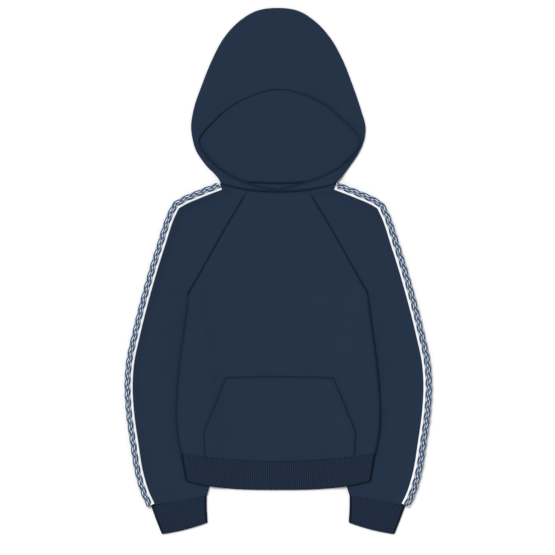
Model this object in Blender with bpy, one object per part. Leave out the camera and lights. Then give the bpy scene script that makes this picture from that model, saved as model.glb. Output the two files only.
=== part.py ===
"""Child's hooded raglan sweatshirt, laid flat on its back with the sleeves under its sides.

X runs across the garment, Y from the cuffs up to the hood, Z up from the surface it lies on.
Left is the wearer's left, at +X, and left pieces are mirrored to make the right ones.
Every cloth piece is a thin wall: a grid of points for its outer face, the same grid moved in
by the cloth's thickness, and a strip round the edge that closes the two.
"""

import bmesh
import bpy
import numpy as np

# Cloth and trim, metres
CLOTH = 0.0016
RIB = 0.0020
TAPE = 0.0010
BRAID = 0.0016
GAP = 0.0003

# Loft of the laid garment; a folded edge has two corners, at these shares of its half height
FOLD_CORNERS = np.array([0.5, -0.5])
FLAT_HEIGHT = 0.0052
FOLD_HEIGHT = 0.0044
CUFF_HEIGHT = 0.0046
OVER_SLEEVE = 0.0041
HOOD_RISE = 0.0014
HOOD_RISE_LENGTH = 0.060
POCKET_CLEAR = 0.0005
POCKET_GAPE = 0.0010

# Edge of the body panels, which curls down to the side seam
CURL_LENGTH = 0.00385
RAMP_WIDTH = 0.020
SLEEVE_COVER = 0.004

# Trim down the outer fold of the sleeve, which slopes up to the trim from SLOPE_REACH
RAISED_REACH = 0.0101
TAPE_REACH = 0.0100
WHITE_STRIP = 0.0030
SLOPE_REACH = 0.024
TRIM_START = 0.0010
TRIM_HEIGHT = TAPE + BRAID + 2 * GAP

# Neck seam: place on the centre line, and at the shoulders where the fold of the sleeve starts
NECK_FRONT_Y = 0.1258
NECK_BACK_Y = 0.1415
SHOULDER_X = 0.0924
SHOULDER_Y = 0.1398
NECK_POWER = 2.2

# The panels' lower edges dip towards the centre by this power of the width
HEM_POWER = 4.0
YOKE_DIP = 0.0030

# Front and back above the armpit: the raglan seam
# edge_y, front_half, back_half, ramp_top, lift, height
YOKE_SECTIONS = (
    (0.1290, 0.0480, 0.0480, 0.0400, 0.0000, 0.0052),
    (0.1010, 0.0648, 0.0695, 0.0560, 0.0000, 0.0052),
    (0.0670, 0.0853, 0.0877, 0.0770, 0.0000, 0.0052),
    (0.0370, 0.1020, 0.1037, 0.0940, 0.0000, 0.0052),
    (0.0070, 0.1188, 0.1190, 0.1100, 0.0004, 0.0050),
    (-0.0180, 0.1327, 0.1321, 0.1250, 0.0018, 0.0044),
    (-0.0360, 0.1427, 0.1420, 0.1340, 0.0041, 0.0035),
)

# Front and back below the armpit: the side seam
# edge_y, half_width, dip, ramp_top, curl in degrees
SIDE_SECTIONS = (
    (-0.0600, 0.1466, 0.0030, 0.1310, 45.0),
    (-0.1000, 0.1522, 0.0030, 0.1230, 90.0),
    (-0.1450, 0.1582, 0.0030, 0.1160, 90.0),
    (-0.1900, 0.1624, 0.0035, 0.1110, 90.0),
    (-0.2300, 0.1640, 0.0050, 0.1080, 90.0),
    (-0.2620, 0.1617, 0.0085, 0.1070, 90.0),
    (-0.2800, 0.1585, 0.0125, 0.1060, 90.0),
    (-0.2905, 0.1560, 0.0150, 0.1060, 90.0),
)

# Hem rib: edge_y, half_width, dip
HEM_SECTIONS = (
    (-0.2911, 0.1558, 0.0150),
    (-0.3050, 0.1534, 0.0152),
    (-0.3200, 0.1508, 0.0154),
    (-0.3350, 0.1482, 0.0156),
)

# Outer fold of the sleeve from the neck, over the shoulder, to the cuff: x, y
SLEEVE_FOLD = (
    (0.0924, 0.1398),
    (0.1279, 0.1261),
    (0.1560, 0.1134),
    (0.1660, 0.1066),
    (0.1718, 0.0960),
    (0.1912, 0.0408),
    (0.2153, -0.0397),
    (0.2314, -0.1041),
    (0.2396, -0.1426),
    (0.2425, -0.1823),
    (0.2405, -0.2233),
    (0.2340, -0.2719),
    (0.2242, -0.3288),
    (0.2150, -0.3580),
    (0.2068, -0.3755),
)

# Inner edge of the sleeve below the armpit, hidden under the body: x, y
UNDERARM = (
    (0.1430, -0.0360),
    (0.1315, -0.0750),
    (0.1220, -0.1250),
    (0.1150, -0.1780),
    (0.1115, -0.2250),
    (0.1095, -0.2720),
    (0.1085, -0.3180),
    (0.1100, -0.3450),
    (0.1138, -0.3584),
)

# Cross sections of the sleeve: distance down the outer fold, place along the inner seam
# (one unit for each yoke section and underarm point), height at the seam and at mid sleeve
SLEEVE_SECTIONS = (
    (0.0000, 0.0, 0.0052, 0.0052),
    (0.0200, 0.5, 0.0052, 0.0052),
    (0.0400, 1.0, 0.0052, 0.0052),
    (0.0570, 1.5, 0.0052, 0.0052),
    (0.0700, 2.0, 0.0052, 0.0052),
    (0.0810, 2.5, 0.0052, 0.0052),
    (0.0910, 3.0, 0.0052, 0.0052),
    (0.1150, 3.5, 0.0052, 0.0052),
    (0.1430, 4.0, 0.0050, 0.0052),
    (0.1800, 5.0, 0.0044, 0.0050),
    (0.2130, 6.0, 0.0035, 0.0044),
    (0.2350, 6.5, 0.0035, 0.0037),
    (0.2570, 7.0, 0.0035, 0.0037),
    (0.2840, 7.5, 0.0035, 0.0037),
    (0.3110, 8.0, 0.0035, 0.0037),
    (0.3410, 8.5, 0.0035, 0.0037),
    (0.3710, 9.0, 0.0035, 0.0037),
    (0.3970, 9.5, 0.0035, 0.0037),
    (0.4230, 10.0, 0.0035, 0.0037),
    (0.4490, 10.5, 0.0035, 0.0037),
    (0.4750, 11.0, 0.0035, 0.0037),
    (0.5250, 12.0, 0.0035, 0.0037),
    (0.5580, 13.0, 0.0037, 0.0038),
    (0.5775, 14.0, 0.0046, 0.0046),
)

# Cuff: outer_x, outer_y, inner_x, inner_y
CUFF_SECTIONS = (
    (0.2033, -0.37547, 0.1142, -0.35910),
    (0.1950, -0.3975, 0.1140, -0.3800),
    (0.1860, -0.4205, 0.1127, -0.4020),
)
CUFF_BOW = 0.0022

# Hood from the neck to the crown: outline, edge of the face opening, centre of the back
# outline_y, outline_left, outline_right, rim_y, rim_left, rim_right, back_y
HOOD_SECTIONS = (
    (0.1399, 0.0918, 0.0918, 0.1261, 0.0002, 0.0002, 0.1418),
    (0.1470, 0.0938, 0.0945, 0.1326, 0.0010, 0.0012, 0.1500),
    (0.1560, 0.0998, 0.1030, 0.1420, 0.0490, 0.0450, 0.1600),
    (0.1660, 0.1095, 0.1115, 0.1515, 0.0705, 0.0690, 0.1730),
    (0.1790, 0.1210, 0.1205, 0.1700, 0.0965, 0.1020, 0.1890),
    (0.1920, 0.1300, 0.1290, 0.1890, 0.1165, 0.1215, 0.2050),
    (0.2080, 0.1355, 0.1362, 0.2070, 0.1262, 0.1302, 0.2230),
    (0.2300, 0.1388, 0.1396, 0.2230, 0.1185, 0.1220, 0.2450),
    (0.2570, 0.1368, 0.1345, 0.2400, 0.1025, 0.1045, 0.2700),
    (0.2980, 0.1208, 0.1180, 0.2580, 0.0830, 0.0850, 0.3040),
    (0.3380, 0.1030, 0.1012, 0.2735, 0.0575, 0.0600, 0.3380),
    (0.3720, 0.0825, 0.0828, 0.2835, 0.0330, 0.0350, 0.3680),
    (0.3990, 0.0570, 0.0565, 0.2880, 0.0180, 0.0195, 0.3900),
    (0.4155, 0.0300, 0.0300, 0.2900, 0.0080, 0.0090, 0.4030),
    (0.4205, 0.0000, 0.0000, 0.2903, 0.0000, 0.0000, 0.4080),
)

# Pocket: y of the edge, half width, opening (1 where the hand goes in, 0 where it is sewn)
POCKET_SECTIONS = (
    (-0.1712, 0.0850, 0.0),
    (-0.1930, 0.0941, 0.7),
    (-0.2145, 0.1031, 1.0),
    (-0.2360, 0.1121, 0.7),
    (-0.2580, 0.1213, 0.0),
    (-0.2780, 0.1204, 0.0),
    (-0.2968, 0.1197, 0.0),
)
POCKET_CROWN = 0.0020
POCKET_SHIFT = 0.0024
POCKET_EDGE_STEP = 0.0020

# Materials: colour, roughness
NAVY = ((0.0194, 0.0331, 0.0612), 0.88)
NAVY_RIB = ((0.0144, 0.0262, 0.0482), 0.90)
WHITE_TAPE = ((0.92, 0.93, 0.95), 0.80)
BLUE_BRAID = ((0.25, 0.33, 0.44), 0.82)


# --- curves and grids -------------------------------------------------------------------------


def smooth_line(points, per_span=12):
    """A smooth line through the points: cubic pieces whose tangents come from the neighbours."""
    p = np.asarray(points, float)
    span = np.linalg.norm(np.diff(p, axis=0), axis=1)
    slope = np.diff(p, axis=0) / span[:, None]
    weight = span[1:] / (span[:-1] + span[1:])
    inner = slope[:-1] * weight[:, None] + slope[1:] * (1 - weight)[:, None]
    tangent = np.vstack([slope[:1], inner, slope[-1:]])
    t = np.linspace(0, 1, per_span, endpoint=False)[None, :, None]
    a = p[:-1, None]
    b = p[1:, None]
    u = (tangent[:-1] * span[:, None])[:, None]
    v = (tangent[1:] * span[:, None])[:, None]
    line = (
        (2 * t**3 - 3 * t**2 + 1) * a
        + (t**3 - 2 * t**2 + t) * u
        + (3 * t**2 - 2 * t**3) * b
        + (t**3 - t**2) * v
    )
    return np.vstack([line.reshape(-1, p.shape[1]), p[-1:]])


def at_distance(line, distances):
    """Points of a line at the given distances from its start."""
    steps = np.linalg.norm(np.diff(line, axis=0), axis=1)
    length = np.concatenate([[0], np.cumsum(steps)])
    return np.stack([np.interp(distances, length, line[:, k]) for k in range(2)], axis=1)


def at_place(points, places):
    """Points of a polyline at fractional places along its list of points."""
    p = np.asarray(points, float)
    index = np.arange(len(p))
    return np.stack([np.interp(places, index, p[:, k]) for k in range(2)], axis=1)


def neck_front(x):
    """Height of the front neck seam at x: lowest in the middle, up to the shoulders."""
    share = np.abs(x) / SHOULDER_X
    return NECK_FRONT_Y + (SHOULDER_Y - NECK_FRONT_Y) * share**NECK_POWER


def neck_back(x):
    """Height of the back neck seam at x, nearly straight."""
    share = np.abs(x) / SHOULDER_X
    return NECK_BACK_Y + (SHOULDER_Y - NECK_BACK_Y) * share**NECK_POWER


def grid(x, y, z):
    """Stacks three arrays, each broadcast to the same rows and columns, into points."""
    return np.stack(np.broadcast_arrays(x, y, z), axis=-1).astype(float)


def cloth_mesh(name, outer, inner, ring=False, joined=False):
    """A closed wall between two grids.

    ring joins the last column to the first. joined leaves the last column without an edge
    strip, because its points meet each other two by two.
    """
    rows, cols = outer.shape[:2]
    index = np.arange(rows * cols).reshape(rows, cols)
    if ring:
        index = np.hstack([index, index[:, :1]])
    a = index[:-1, :-1].ravel()
    b = index[:-1, 1:].ravel()
    c = index[1:, 1:].ravel()
    d = index[1:, :-1].ravel()
    top = np.stack([a, b, c, d], axis=1)
    under = top[:, ::-1] + rows * cols
    edges = [index[0], index[-1][::-1]]
    if not ring:
        edges.append(index[::-1, 0])
    if not ring and not joined:
        edges.append(index[:, -1])
    rim = []
    for edge in edges:
        lower = edge + rows * cols
        rim.append(np.stack([edge[:-1], lower[:-1], lower[1:], edge[1:]], axis=1))
    faces = np.vstack([top, under] + rim)
    points = np.vstack([outer.reshape(-1, 3), inner.reshape(-1, 3)])
    mesh = bpy.data.meshes.new(name)
    mesh.from_pydata(points.tolist(), [], faces.tolist())
    return mesh


def finish(name, mesh, look):
    """Merges doubled points, turns the faces outwards and places the piece in the scene."""
    work = bmesh.new()
    work.from_mesh(mesh)
    bmesh.ops.remove_doubles(work, verts=work.verts, dist=1e-6)
    bmesh.ops.recalc_face_normals(work, faces=work.faces)
    work.to_mesh(mesh)
    work.free()
    mesh.shade_smooth()
    mesh.set_sharp_from_angle(angle=np.radians(50))
    colour, roughness = look
    material = bpy.data.materials.new(name)
    material.use_nodes = True
    shader = material.node_tree.nodes["Principled BSDF"]
    shader.inputs["Base Color"].default_value = (*colour, 1.0)
    shader.inputs["Roughness"].default_value = roughness
    shader.inputs["Metallic"].default_value = 0.0
    mesh.materials.append(material)
    piece = bpy.data.objects.new(name, mesh)
    bpy.context.scene.collection.objects.link(piece)
    return piece


def mirrored(points):
    """The same points on the other side of the garment."""
    return points * np.array([-1.0, 1.0, 1.0])


# --- body -------------------------------------------------------------------------------------


def curl_of(angle):
    """How far the curled edge strip reaches sideways and down, for the angle it turns through."""
    safe = np.maximum(angle, 1e-6)
    return CURL_LENGTH * np.sin(safe) / safe, CURL_LENGTH * (1 - np.cos(safe)) / safe


def closed_height(angle):
    """Height of the body where its two curled edges meet, one seam gap apart."""
    return GAP + 2 * (CLOTH * np.cos(angle) + curl_of(angle)[1])


def body_rows(back):
    """Section values from the neck to the rib: edge y, half width, dip, ramp, lift, height, curl."""
    yoke = np.array(YOKE_SECTIONS)
    side = np.array(SIDE_SECTIONS)
    edge_y = np.concatenate([yoke[:, 0], side[:, 0]])
    half = np.concatenate([yoke[:, 2 if back else 1], side[:, 1]])
    dip = np.concatenate([np.full(len(yoke), YOKE_DIP), side[:, 2]])
    ramp = np.concatenate([yoke[:, 3], side[:, 3]])
    lift = np.concatenate([yoke[:, 4], np.full(len(side), OVER_SLEEVE)])
    curl = np.radians(np.concatenate([np.zeros(len(yoke)), side[:, 4]]))
    height = np.concatenate([yoke[:, 5], closed_height(curl[len(yoke):])])
    if back:
        edge_y[0] = neck_back(half[0])
    return edge_y, half, dip, ramp, lift, height, curl


def body_columns(half, ramp, curl):
    """Half a section, centre to seam: x, share of the lift, share of the curl."""
    reach = curl_of(curl)[0]
    foot = ramp - RAMP_WIDTH
    x = [0 * half, 0.5 * foot, foot, ramp, half - reach]
    share = [0.0, 0.0, 0.0, 1.0, 1.0]
    bend = [0.0] * 5
    for part in (0.5, 1.0):
        turn = part * curl
        x.append(half - reach + np.where(curl > 0, np.sin(turn) * arc_radius(curl), part * reach))
        share.append(1.0)
        bend.append(part)
    return np.stack(x, axis=1), np.array(share), np.array(bend)


def arc_radius(curl):
    """Radius that the edge strip bends to."""
    return CURL_LENGTH / np.maximum(curl, 1e-6)


def body_panel(back):
    """Outer and inner faces of the front or the back."""
    edge_y, half, dip, ramp, lift, height, curl = body_rows(back)
    x, share, bend = body_columns(half, ramp, curl)
    turn = bend[None, :] * curl[:, None]
    drop = np.where(curl[:, None] > 0, arc_radius(curl)[:, None] * (1 - np.cos(turn)), 0.0)
    floor = lift[:, None] * share[None, :]
    y = edge_y[:, None] - dip[:, None] * (1 - (x / half[:, None]) ** HEM_POWER)
    y[0] = (neck_back(x[0]) if back else neck_front(x[0])) - GAP / 2
    inward = CLOTH * np.sin(turn)
    along = CLOTH * np.cos(turn)
    if back:
        z = floor + drop
        inner = grid(x - inward, y, z + along)
    else:
        z = floor + height[:, None] - drop
        inner = grid(x - inward, y, z - along)
    outer = grid(x, y, z)
    return both_halves(outer), both_halves(inner)


def both_halves(right):
    """Joins a half section with its mirror image, left edge to right edge."""
    return np.concatenate([mirrored(right[:, :0:-1]), right], axis=1)


def add_body():
    for name, back in (("front_panel", False), ("back_panel", True)):
        outer, inner = body_panel(back)
        finish(name, cloth_mesh(name, outer, inner), NAVY)


def front_surface(x, y):
    """Height of the front panel's outer face at points of the pocket."""
    edge_y, half, dip, ramp, lift, height, curl = body_rows(False)
    order = np.argsort(edge_y)
    centre_y = y + np.interp(y, edge_y[order], dip[order])
    foot = np.interp(centre_y, edge_y[order], (ramp - RAMP_WIDTH)[order])
    top = np.interp(centre_y, edge_y[order], height[order])
    up = np.interp(centre_y, edge_y[order], lift[order])
    climb = np.clip((np.abs(x) - foot) / RAMP_WIDTH, 0, 1)
    return top + up * climb, foot


def add_pocket():
    """Kangaroo pocket: its points are the front panel's, moved out, with slanted openings."""
    section = np.array(POCKET_SECTIONS)
    edge_y = section[:, 0:1]
    half = section[:, 1:2]
    opening = section[:, 2:3]
    foot = front_surface(np.zeros_like(edge_y), edge_y)[1]
    spare = POCKET_EDGE_STEP * np.arange(4, -1, -1)[None, :]
    sides = []
    for reach in (half - POCKET_SHIFT, half + POCKET_SHIFT):
        wanted = np.hstack([0 * foot, 0.5 * foot, foot, foot + RAMP_WIDTH, reach])
        sides.append(np.minimum(wanted, reach - spare))
    x = np.hstack([-sides[0][:, :0:-1], sides[1]])
    share = np.abs(x - POCKET_SHIFT) / half
    dip = np.linspace(-POCKET_CROWN, 0.0, len(section))[:, None]
    y = edge_y - dip * (1 - share**2)
    seam_dip = SIDE_SECTIONS[-1][2]
    seam_half = SIDE_SECTIONS[-1][1]
    seam_y = SIDE_SECTIONS[-1][0]
    y[-1] = seam_y - seam_dip * (1 - np.abs(x[-1] / seam_half) ** HEM_POWER) + GAP
    clear = POCKET_CLEAR + POCKET_GAPE * opening * share**8
    low = grid(x, y, front_surface(x, y)[0] + clear)
    high = low + np.array([0.0, 0.0, CLOTH])
    finish("pocket", cloth_mesh("pocket", high, low), NAVY)


def add_hem():
    """Rib band round the hem: one closed ring, over the sleeves at its sides."""
    section = np.array(HEM_SECTIONS)
    edge_y, half, dip = section.T
    ramp = np.full(len(section), SIDE_SECTIONS[-1][3])
    radius = FLAT_HEIGHT / 2
    foot = ramp - RAMP_WIDTH
    x = np.stack([0 * foot, 0.5 * foot, foot, ramp, half - radius], axis=1)
    lift = OVER_SLEEVE * np.array([0.0, 0.0, 0.0, 1.0, 1.0])
    y = edge_y[:, None] - dip[:, None] * (1 - (x / half[:, None]) ** HEM_POWER)
    faces = []
    for inset in (0.0, RIB):
        reach = radius - inset
        fold_x = (half - inset)[:, None]
        fold = grid(fold_x, edge_y[:, None], OVER_SLEEVE + radius + reach * FOLD_CORNERS)
        upper = grid(x, y, lift + FLAT_HEIGHT - inset)
        lower = grid(x, y, lift + inset)
        right = np.concatenate([upper, fold, lower[:, ::-1]], axis=1)
        left = mirrored(right[:, 1:-1])[:, ::-1]
        faces.append(np.concatenate([right, left], axis=1))
    finish("hem_rib", cloth_mesh("hem_rib", faces[0], faces[1], ring=True), NAVY_RIB)


# --- sleeves ----------------------------------------------------------------------------------


def seam_side(back):
    """The sleeve's own edge along the raglan seam, one gap from the body, then the underarm."""
    yoke = np.array(YOKE_SECTIONS)
    edge = np.stack([yoke[:, 2 if back else 1], yoke[:, 0]], axis=1)
    if back:
        edge[0, 1] = neck_back(edge[0, 0])
    run = edge[-1] - edge[0]
    away = np.array([-run[1], run[0]]) / np.linalg.norm(run)
    edge = edge + away * GAP
    edge[-1] = UNDERARM[0]
    return np.vstack([edge, np.array(UNDERARM[1:])])


def sleeve_rows():
    """For each section: point on the outer fold, way inward, front and back inner points."""
    table = np.array(SLEEVE_SECTIONS)
    line = smooth_line(SLEEVE_FOLD)
    fold = at_distance(line, table[:, 0])
    ahead = at_distance(line, table[:, 0] + CLOTH) - at_distance(line, table[:, 0] - CLOTH)
    ahead /= np.linalg.norm(ahead, axis=1)[:, None]
    inward = np.stack([ahead[:, 1], -ahead[:, 0]], axis=1)
    front = at_place(seam_side(False), table[:, 1])
    back = at_place(seam_side(True), table[:, 1])
    return fold, inward, front, back, table[:, 2], table[:, 3]


def cover_distance(fold, way, limit):
    """Distance from the outer fold at which a section passes under the body's side."""
    side = np.array(SIDE_SECTIONS)
    order = np.argsort(side[:, 0])
    reach = 0.5 * limit
    for _ in range(4):
        y = fold[:, 1] + way[:, 1] * reach
        edge = np.interp(y, side[order, 0], side[order, 1]) + SLEEVE_COVER
        reach = (fold[:, 0] - edge) / -way[:, 0]
    return reach


def sleeve_half(fold, inward, seam, seam_height, mid_height, face):
    """Flat columns of one layer, from its seam to the fold: plan points and heights.

    face is 1 for the front layer, whose heights are its upper side, and 0 for the back layer.
    """
    way = seam - fold
    width = np.linalg.norm(way, axis=1)
    way /= width[:, None]
    lean = np.sum(way * inward, axis=1)
    across = lean.copy()
    across[0] = 1.0
    slope = np.minimum(SLOPE_REACH / across, 0.75 * width)
    middle = 0.5 * (slope + width)
    hidden = np.array(SLEEVE_SECTIONS)[:, 1] > len(YOKE_SECTIONS) - 1
    cover = cover_distance(fold, way, width)
    cover = np.clip(cover, slope + SLEEVE_COVER, width - SLEEVE_COVER)
    middle = np.where(hidden, cover, middle)
    tape = RAISED_REACH / across
    turn = FOLD_HEIGHT / 2 / lean
    reach = np.stack([width, middle, slope, tape, turn], axis=1)
    plan = fold[:, None] + way[:, None] * reach[..., None]
    raised = TRIM_HEIGHT + face * FOLD_HEIGHT
    flat = face * FLAT_HEIGHT + 0 * width
    height = np.stack([face * seam_height, face * mid_height, flat, raised + 0 * flat,
                       raised + 0 * flat], axis=1)
    return plan, height, way, lean


def sleeve_faces():
    """Outer and inner faces of the left sleeve, front seam over the fold to back seam."""
    fold, inward, front, back, seam_height, mid_height = sleeve_rows()
    f_plan, f_height, f_way, f_lean = sleeve_half(fold, inward, front, seam_height, mid_height, 1)
    b_plan, b_height, b_way, b_lean = sleeve_half(fold, inward, back, seam_height, mid_height, 0)
    f_plan[0, :, 1] = neck_front(f_plan[0, :, 0]) - GAP / 2
    b_plan[0, :, 1] = neck_back(b_plan[0, :, 0]) - GAP / 2
    radius = FOLD_HEIGHT / 2
    centre = TRIM_HEIGHT + radius
    faces = []
    for inset in (0.0, CLOTH):
        reach = radius - inset
        columns = []
        for corner, way, lean in zip(FOLD_CORNERS, (f_way, b_way), (f_lean, b_lean)):
            plan = fold + way * (inset / lean)[:, None]
            columns.append(grid(plan[:, 0], plan[:, 1], centre + reach * corner))
        upper = grid(f_plan[..., 0], f_plan[..., 1], f_height - inset)
        lower = grid(b_plan[..., 0], b_plan[..., 1], b_height + inset)[:, ::-1]
        faces.append(np.concatenate([upper, np.stack(columns, axis=1), lower], axis=1))
    return faces


def wrap_faces(clear, thickness, reach):
    """Faces of a trim wrapped round the outer fold, clear of the sleeve, reach in from the fold."""
    fold, inward = sleeve_rows()[:2]
    fold = fold.copy()
    line = smooth_line(SLEEVE_FOLD)
    fold[0] = at_distance(line, [TRIM_START])[0]
    radius = FOLD_HEIGHT / 2
    centre = TRIM_HEIGHT + radius
    faces = []
    for grow in (clear + thickness, clear):
        bend = radius + grow
        offsets = np.array([reach, radius, -grow, -grow, radius, reach])
        heights = bend * np.array([1.0, 1.0, *FOLD_CORNERS, -1.0, -1.0])
        plan = fold[:, None] + inward[:, None] * offsets[None, :, None]
        z = centre + heights[None, :] + 0 * plan[..., 0]
        faces.append(grid(plan[..., 0], plan[..., 1], z))
    return faces


def add_sleeves():
    cloth = sleeve_faces()
    tape = wrap_faces(GAP, TAPE, TAPE_REACH)
    braid = wrap_faces(GAP + TAPE + GAP, BRAID, TAPE_REACH - WHITE_STRIP)
    pieces = (("sleeve", cloth, NAVY), ("tape", tape, WHITE_TAPE), ("braid", braid, BLUE_BRAID))
    for kind, (outer, inner), look in pieces:
        for side in ("left", "right"):
            name = f"{kind}_{side}"
            shown = [outer, inner] if side == "left" else [mirrored(outer), mirrored(inner)]
            finish(name, cloth_mesh(name, *shown), look)


def add_cuffs():
    """Rib bands at the wrists: closed rings that narrow towards the hand."""
    section = np.array(CUFF_SECTIONS)
    outer = section[:, None, 0:2]
    inner = section[:, None, 2:4]
    radius = CUFF_HEIGHT / 2
    width = np.linalg.norm(outer - inner, axis=2)
    share = np.array([0.0, 0.34, 0.67, 1.0])[None, :]
    faces = []
    for inset in (0.0, RIB):
        reach = radius - inset
        flat = radius / width + share * (1 - 2 * radius / width)
        bulge = np.array([0.0, 0.5, 1.0])[:, None] * CUFF_BOW
        edge = np.repeat(inset / width, 2, axis=1)
        place = np.hstack([flat, 1 - edge, flat[:, ::-1], edge])
        plan = inner + (outer - inner) * place[..., None]
        plan[..., 1] -= bulge * 4 * place * (1 - place)
        top = np.full(4, CUFF_HEIGHT - inset)
        turn = radius + reach * FOLD_CORNERS
        z = np.concatenate([top, turn, np.full(4, inset), turn[::-1]])
        faces.append(grid(plan[..., 0], plan[..., 1], z[None, :]))
    for side in ("left", "right"):
        shown = faces if side == "left" else [mirrored(f) for f in faces]
        name = f"cuff_{side}"
        finish(name, cloth_mesh(name, *shown, ring=True), NAVY_RIB)


# --- hood -------------------------------------------------------------------------------------


def shoulder_lift(plan):
    """Lift of the hood where it lies by the trim of the shoulder: full near it, then sloping."""
    away = np.hypot(np.abs(plan[..., 0]) - SHOULDER_X, plan[..., 1] - SHOULDER_Y)
    return TRIM_HEIGHT * np.clip((SLOPE_REACH - away) / (SLOPE_REACH - RAISED_REACH), 0, 1)


def hood_height(plan):
    """Height of the hood from its underside to its top, lower over the trim as the sleeve is."""
    share = shoulder_lift(plan) / TRIM_HEIGHT
    return FLAT_HEIGHT - (FLAT_HEIGHT - FOLD_HEIGHT) * share


def hood_half(outline_x, rim_x, sign):
    """Grids of one side of the hood, rows from the neck to the crown, rim to centre back."""
    table = np.array(HOOD_SECTIONS)
    outline = np.stack([outline_x, table[:, 0]], axis=1)
    rim = np.stack([rim_x, table[:, 3]], axis=1)
    spine = np.stack([0 * rim_x, table[:, 6]], axis=1)
    ahead = np.gradient(outline, axis=0)
    ahead[-1] = (-1.0, 0.0)
    ahead /= np.linalg.norm(ahead, axis=1)[:, None]
    inward = np.stack([-ahead[:, 1], ahead[:, 0]], axis=1)
    rise = HOOD_RISE * np.clip((table[:, 0] - table[0, 0]) / HOOD_RISE_LENGTH, 0, 1)
    radius = hood_height(outline) / 2
    centre = shoulder_lift(outline) + radius
    layers = []
    for target in (rim, spine):
        way = target - outline
        width = np.linalg.norm(way, axis=1)
        way = way / width[:, None]
        lean = np.maximum(np.sum(way * inward, axis=1), 0.5)
        turn = radius / lean
        rest = width - turn
        near = turn + np.minimum(RAISED_REACH - FLAT_HEIGHT / 2, 0.25 * rest)
        far = turn + np.minimum(SLOPE_REACH - FLAT_HEIGHT / 2, 0.50 * rest)
        reach = np.stack([width, turn + 0.75 * rest, far, near, turn], axis=1)
        layers.append((way, lean, outline[:, None] + way[:, None] * reach[..., None]))
    (front_way, front_lean, front), (back_way, back_lean, back) = layers
    front[0, :, 1] = neck_front(front[0, :, 0]) + GAP / 2
    back[0, :, 1] = neck_back(back[0, :, 0]) + GAP / 2
    share = np.array([1.0, 0.9, 0.6, 0.25, 0.0])
    top = shoulder_lift(front) + hood_height(front) + rise[:, None] * share
    bottom = shoulder_lift(back)
    faces = []
    for inset in (0.0, CLOTH):
        columns = []
        for corner, way, lean in zip(FOLD_CORNERS, (front_way, back_way), (front_lean, back_lean)):
            plan = outline + way * (inset / lean)[:, None]
            columns.append(grid(plan[:, 0], plan[:, 1], centre + (radius - inset) * corner))
        upper = grid(front[..., 0], front[..., 1], top - inset)
        lower = grid(back[..., 0], back[..., 1], bottom + inset)[:, ::-1]
        face = np.concatenate([upper, np.stack(columns, axis=1), lower], axis=1)
        face[..., 0] *= sign
        faces.append(face)
    return faces


def add_hood():
    """The hood: left half and right half joined at the crown and down the centre back."""
    table = np.array(HOOD_SECTIONS)
    left = hood_half(table[:, 1], table[:, 4], -1.0)
    right = hood_half(table[:, 2], table[:, 5], 1.0)
    outer, inner = (np.concatenate([a, b[-2::-1]], axis=0) for a, b in zip(left, right))
    finish("hood", cloth_mesh("hood", outer, inner, joined=True), NAVY)


def clear_scene():
    for old in list(bpy.data.objects):
        bpy.data.objects.remove(old, do_unlink=True)


clear_scene()
add_body()
add_pocket()
add_hem()
add_sleeves()
add_cuffs()
add_hood()
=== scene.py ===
# %% [markdown]
# # A child's hooded sweatshirt, laid flat
#
# The garment is a raglan sweatshirt of navy knit with a hood, a kangaroo pocket, ribbed hem and
# cuffs, and a plaited trim on white tape down each sleeve. It lies face up on a white surface.
# Every piece of cloth here is a sheet drawn by two parameters, so numpy works out the whole grid
# at once and Blender only receives the finished points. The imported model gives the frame: its
# box sets the size and place of all that follows.

import bpy
import numpy as np
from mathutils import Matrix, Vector


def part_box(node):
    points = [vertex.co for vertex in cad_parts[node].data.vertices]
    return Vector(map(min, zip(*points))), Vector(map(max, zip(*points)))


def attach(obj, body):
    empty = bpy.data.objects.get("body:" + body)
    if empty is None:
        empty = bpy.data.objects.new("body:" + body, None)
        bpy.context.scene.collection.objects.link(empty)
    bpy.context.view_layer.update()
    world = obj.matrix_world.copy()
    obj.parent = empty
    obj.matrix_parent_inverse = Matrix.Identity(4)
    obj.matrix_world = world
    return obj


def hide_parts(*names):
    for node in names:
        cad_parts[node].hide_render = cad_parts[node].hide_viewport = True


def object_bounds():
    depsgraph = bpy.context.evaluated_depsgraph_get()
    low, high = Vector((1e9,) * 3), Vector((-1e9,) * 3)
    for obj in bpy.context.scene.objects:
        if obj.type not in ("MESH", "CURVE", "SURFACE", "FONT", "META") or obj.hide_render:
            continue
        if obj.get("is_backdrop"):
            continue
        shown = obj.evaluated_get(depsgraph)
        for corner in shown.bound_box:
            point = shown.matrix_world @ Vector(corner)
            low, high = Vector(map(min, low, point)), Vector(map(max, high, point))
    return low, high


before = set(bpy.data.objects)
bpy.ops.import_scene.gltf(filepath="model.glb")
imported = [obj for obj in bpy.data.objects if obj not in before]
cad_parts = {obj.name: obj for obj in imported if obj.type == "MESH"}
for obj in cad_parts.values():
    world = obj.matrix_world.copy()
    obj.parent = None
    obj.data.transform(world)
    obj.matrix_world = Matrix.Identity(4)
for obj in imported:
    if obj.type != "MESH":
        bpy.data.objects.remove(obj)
CAD_LOW, CAD_HIGH = (np.array(corner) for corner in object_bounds())
SIZE = CAD_HIGH - CAD_LOW
print("packed model, mm:", np.round(SIZE * 1000, 1))

# %% [markdown]
# The section tables below are drafted in metres for a garment of one size. `placed` lays a
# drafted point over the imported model, so a change of the model's size moves every piece with it.
# Heights are measured up from the surface that the garment lies on.

# %% From the draft to the frame
DRAFT_WIDTH = 0.4909
DRAFT_LENGTH = 0.8410
SCALE = np.array([SIZE[0] / DRAFT_WIDTH, SIZE[1] / DRAFT_LENGTH, 1.0])
CENTRE = np.array([(CAD_LOW[0] + CAD_HIGH[0]) / 2, (CAD_LOW[1] + CAD_HIGH[1]) / 2, CAD_LOW[2]])
SIDES = (("left", 1.0), ("right", -1.0))


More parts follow.
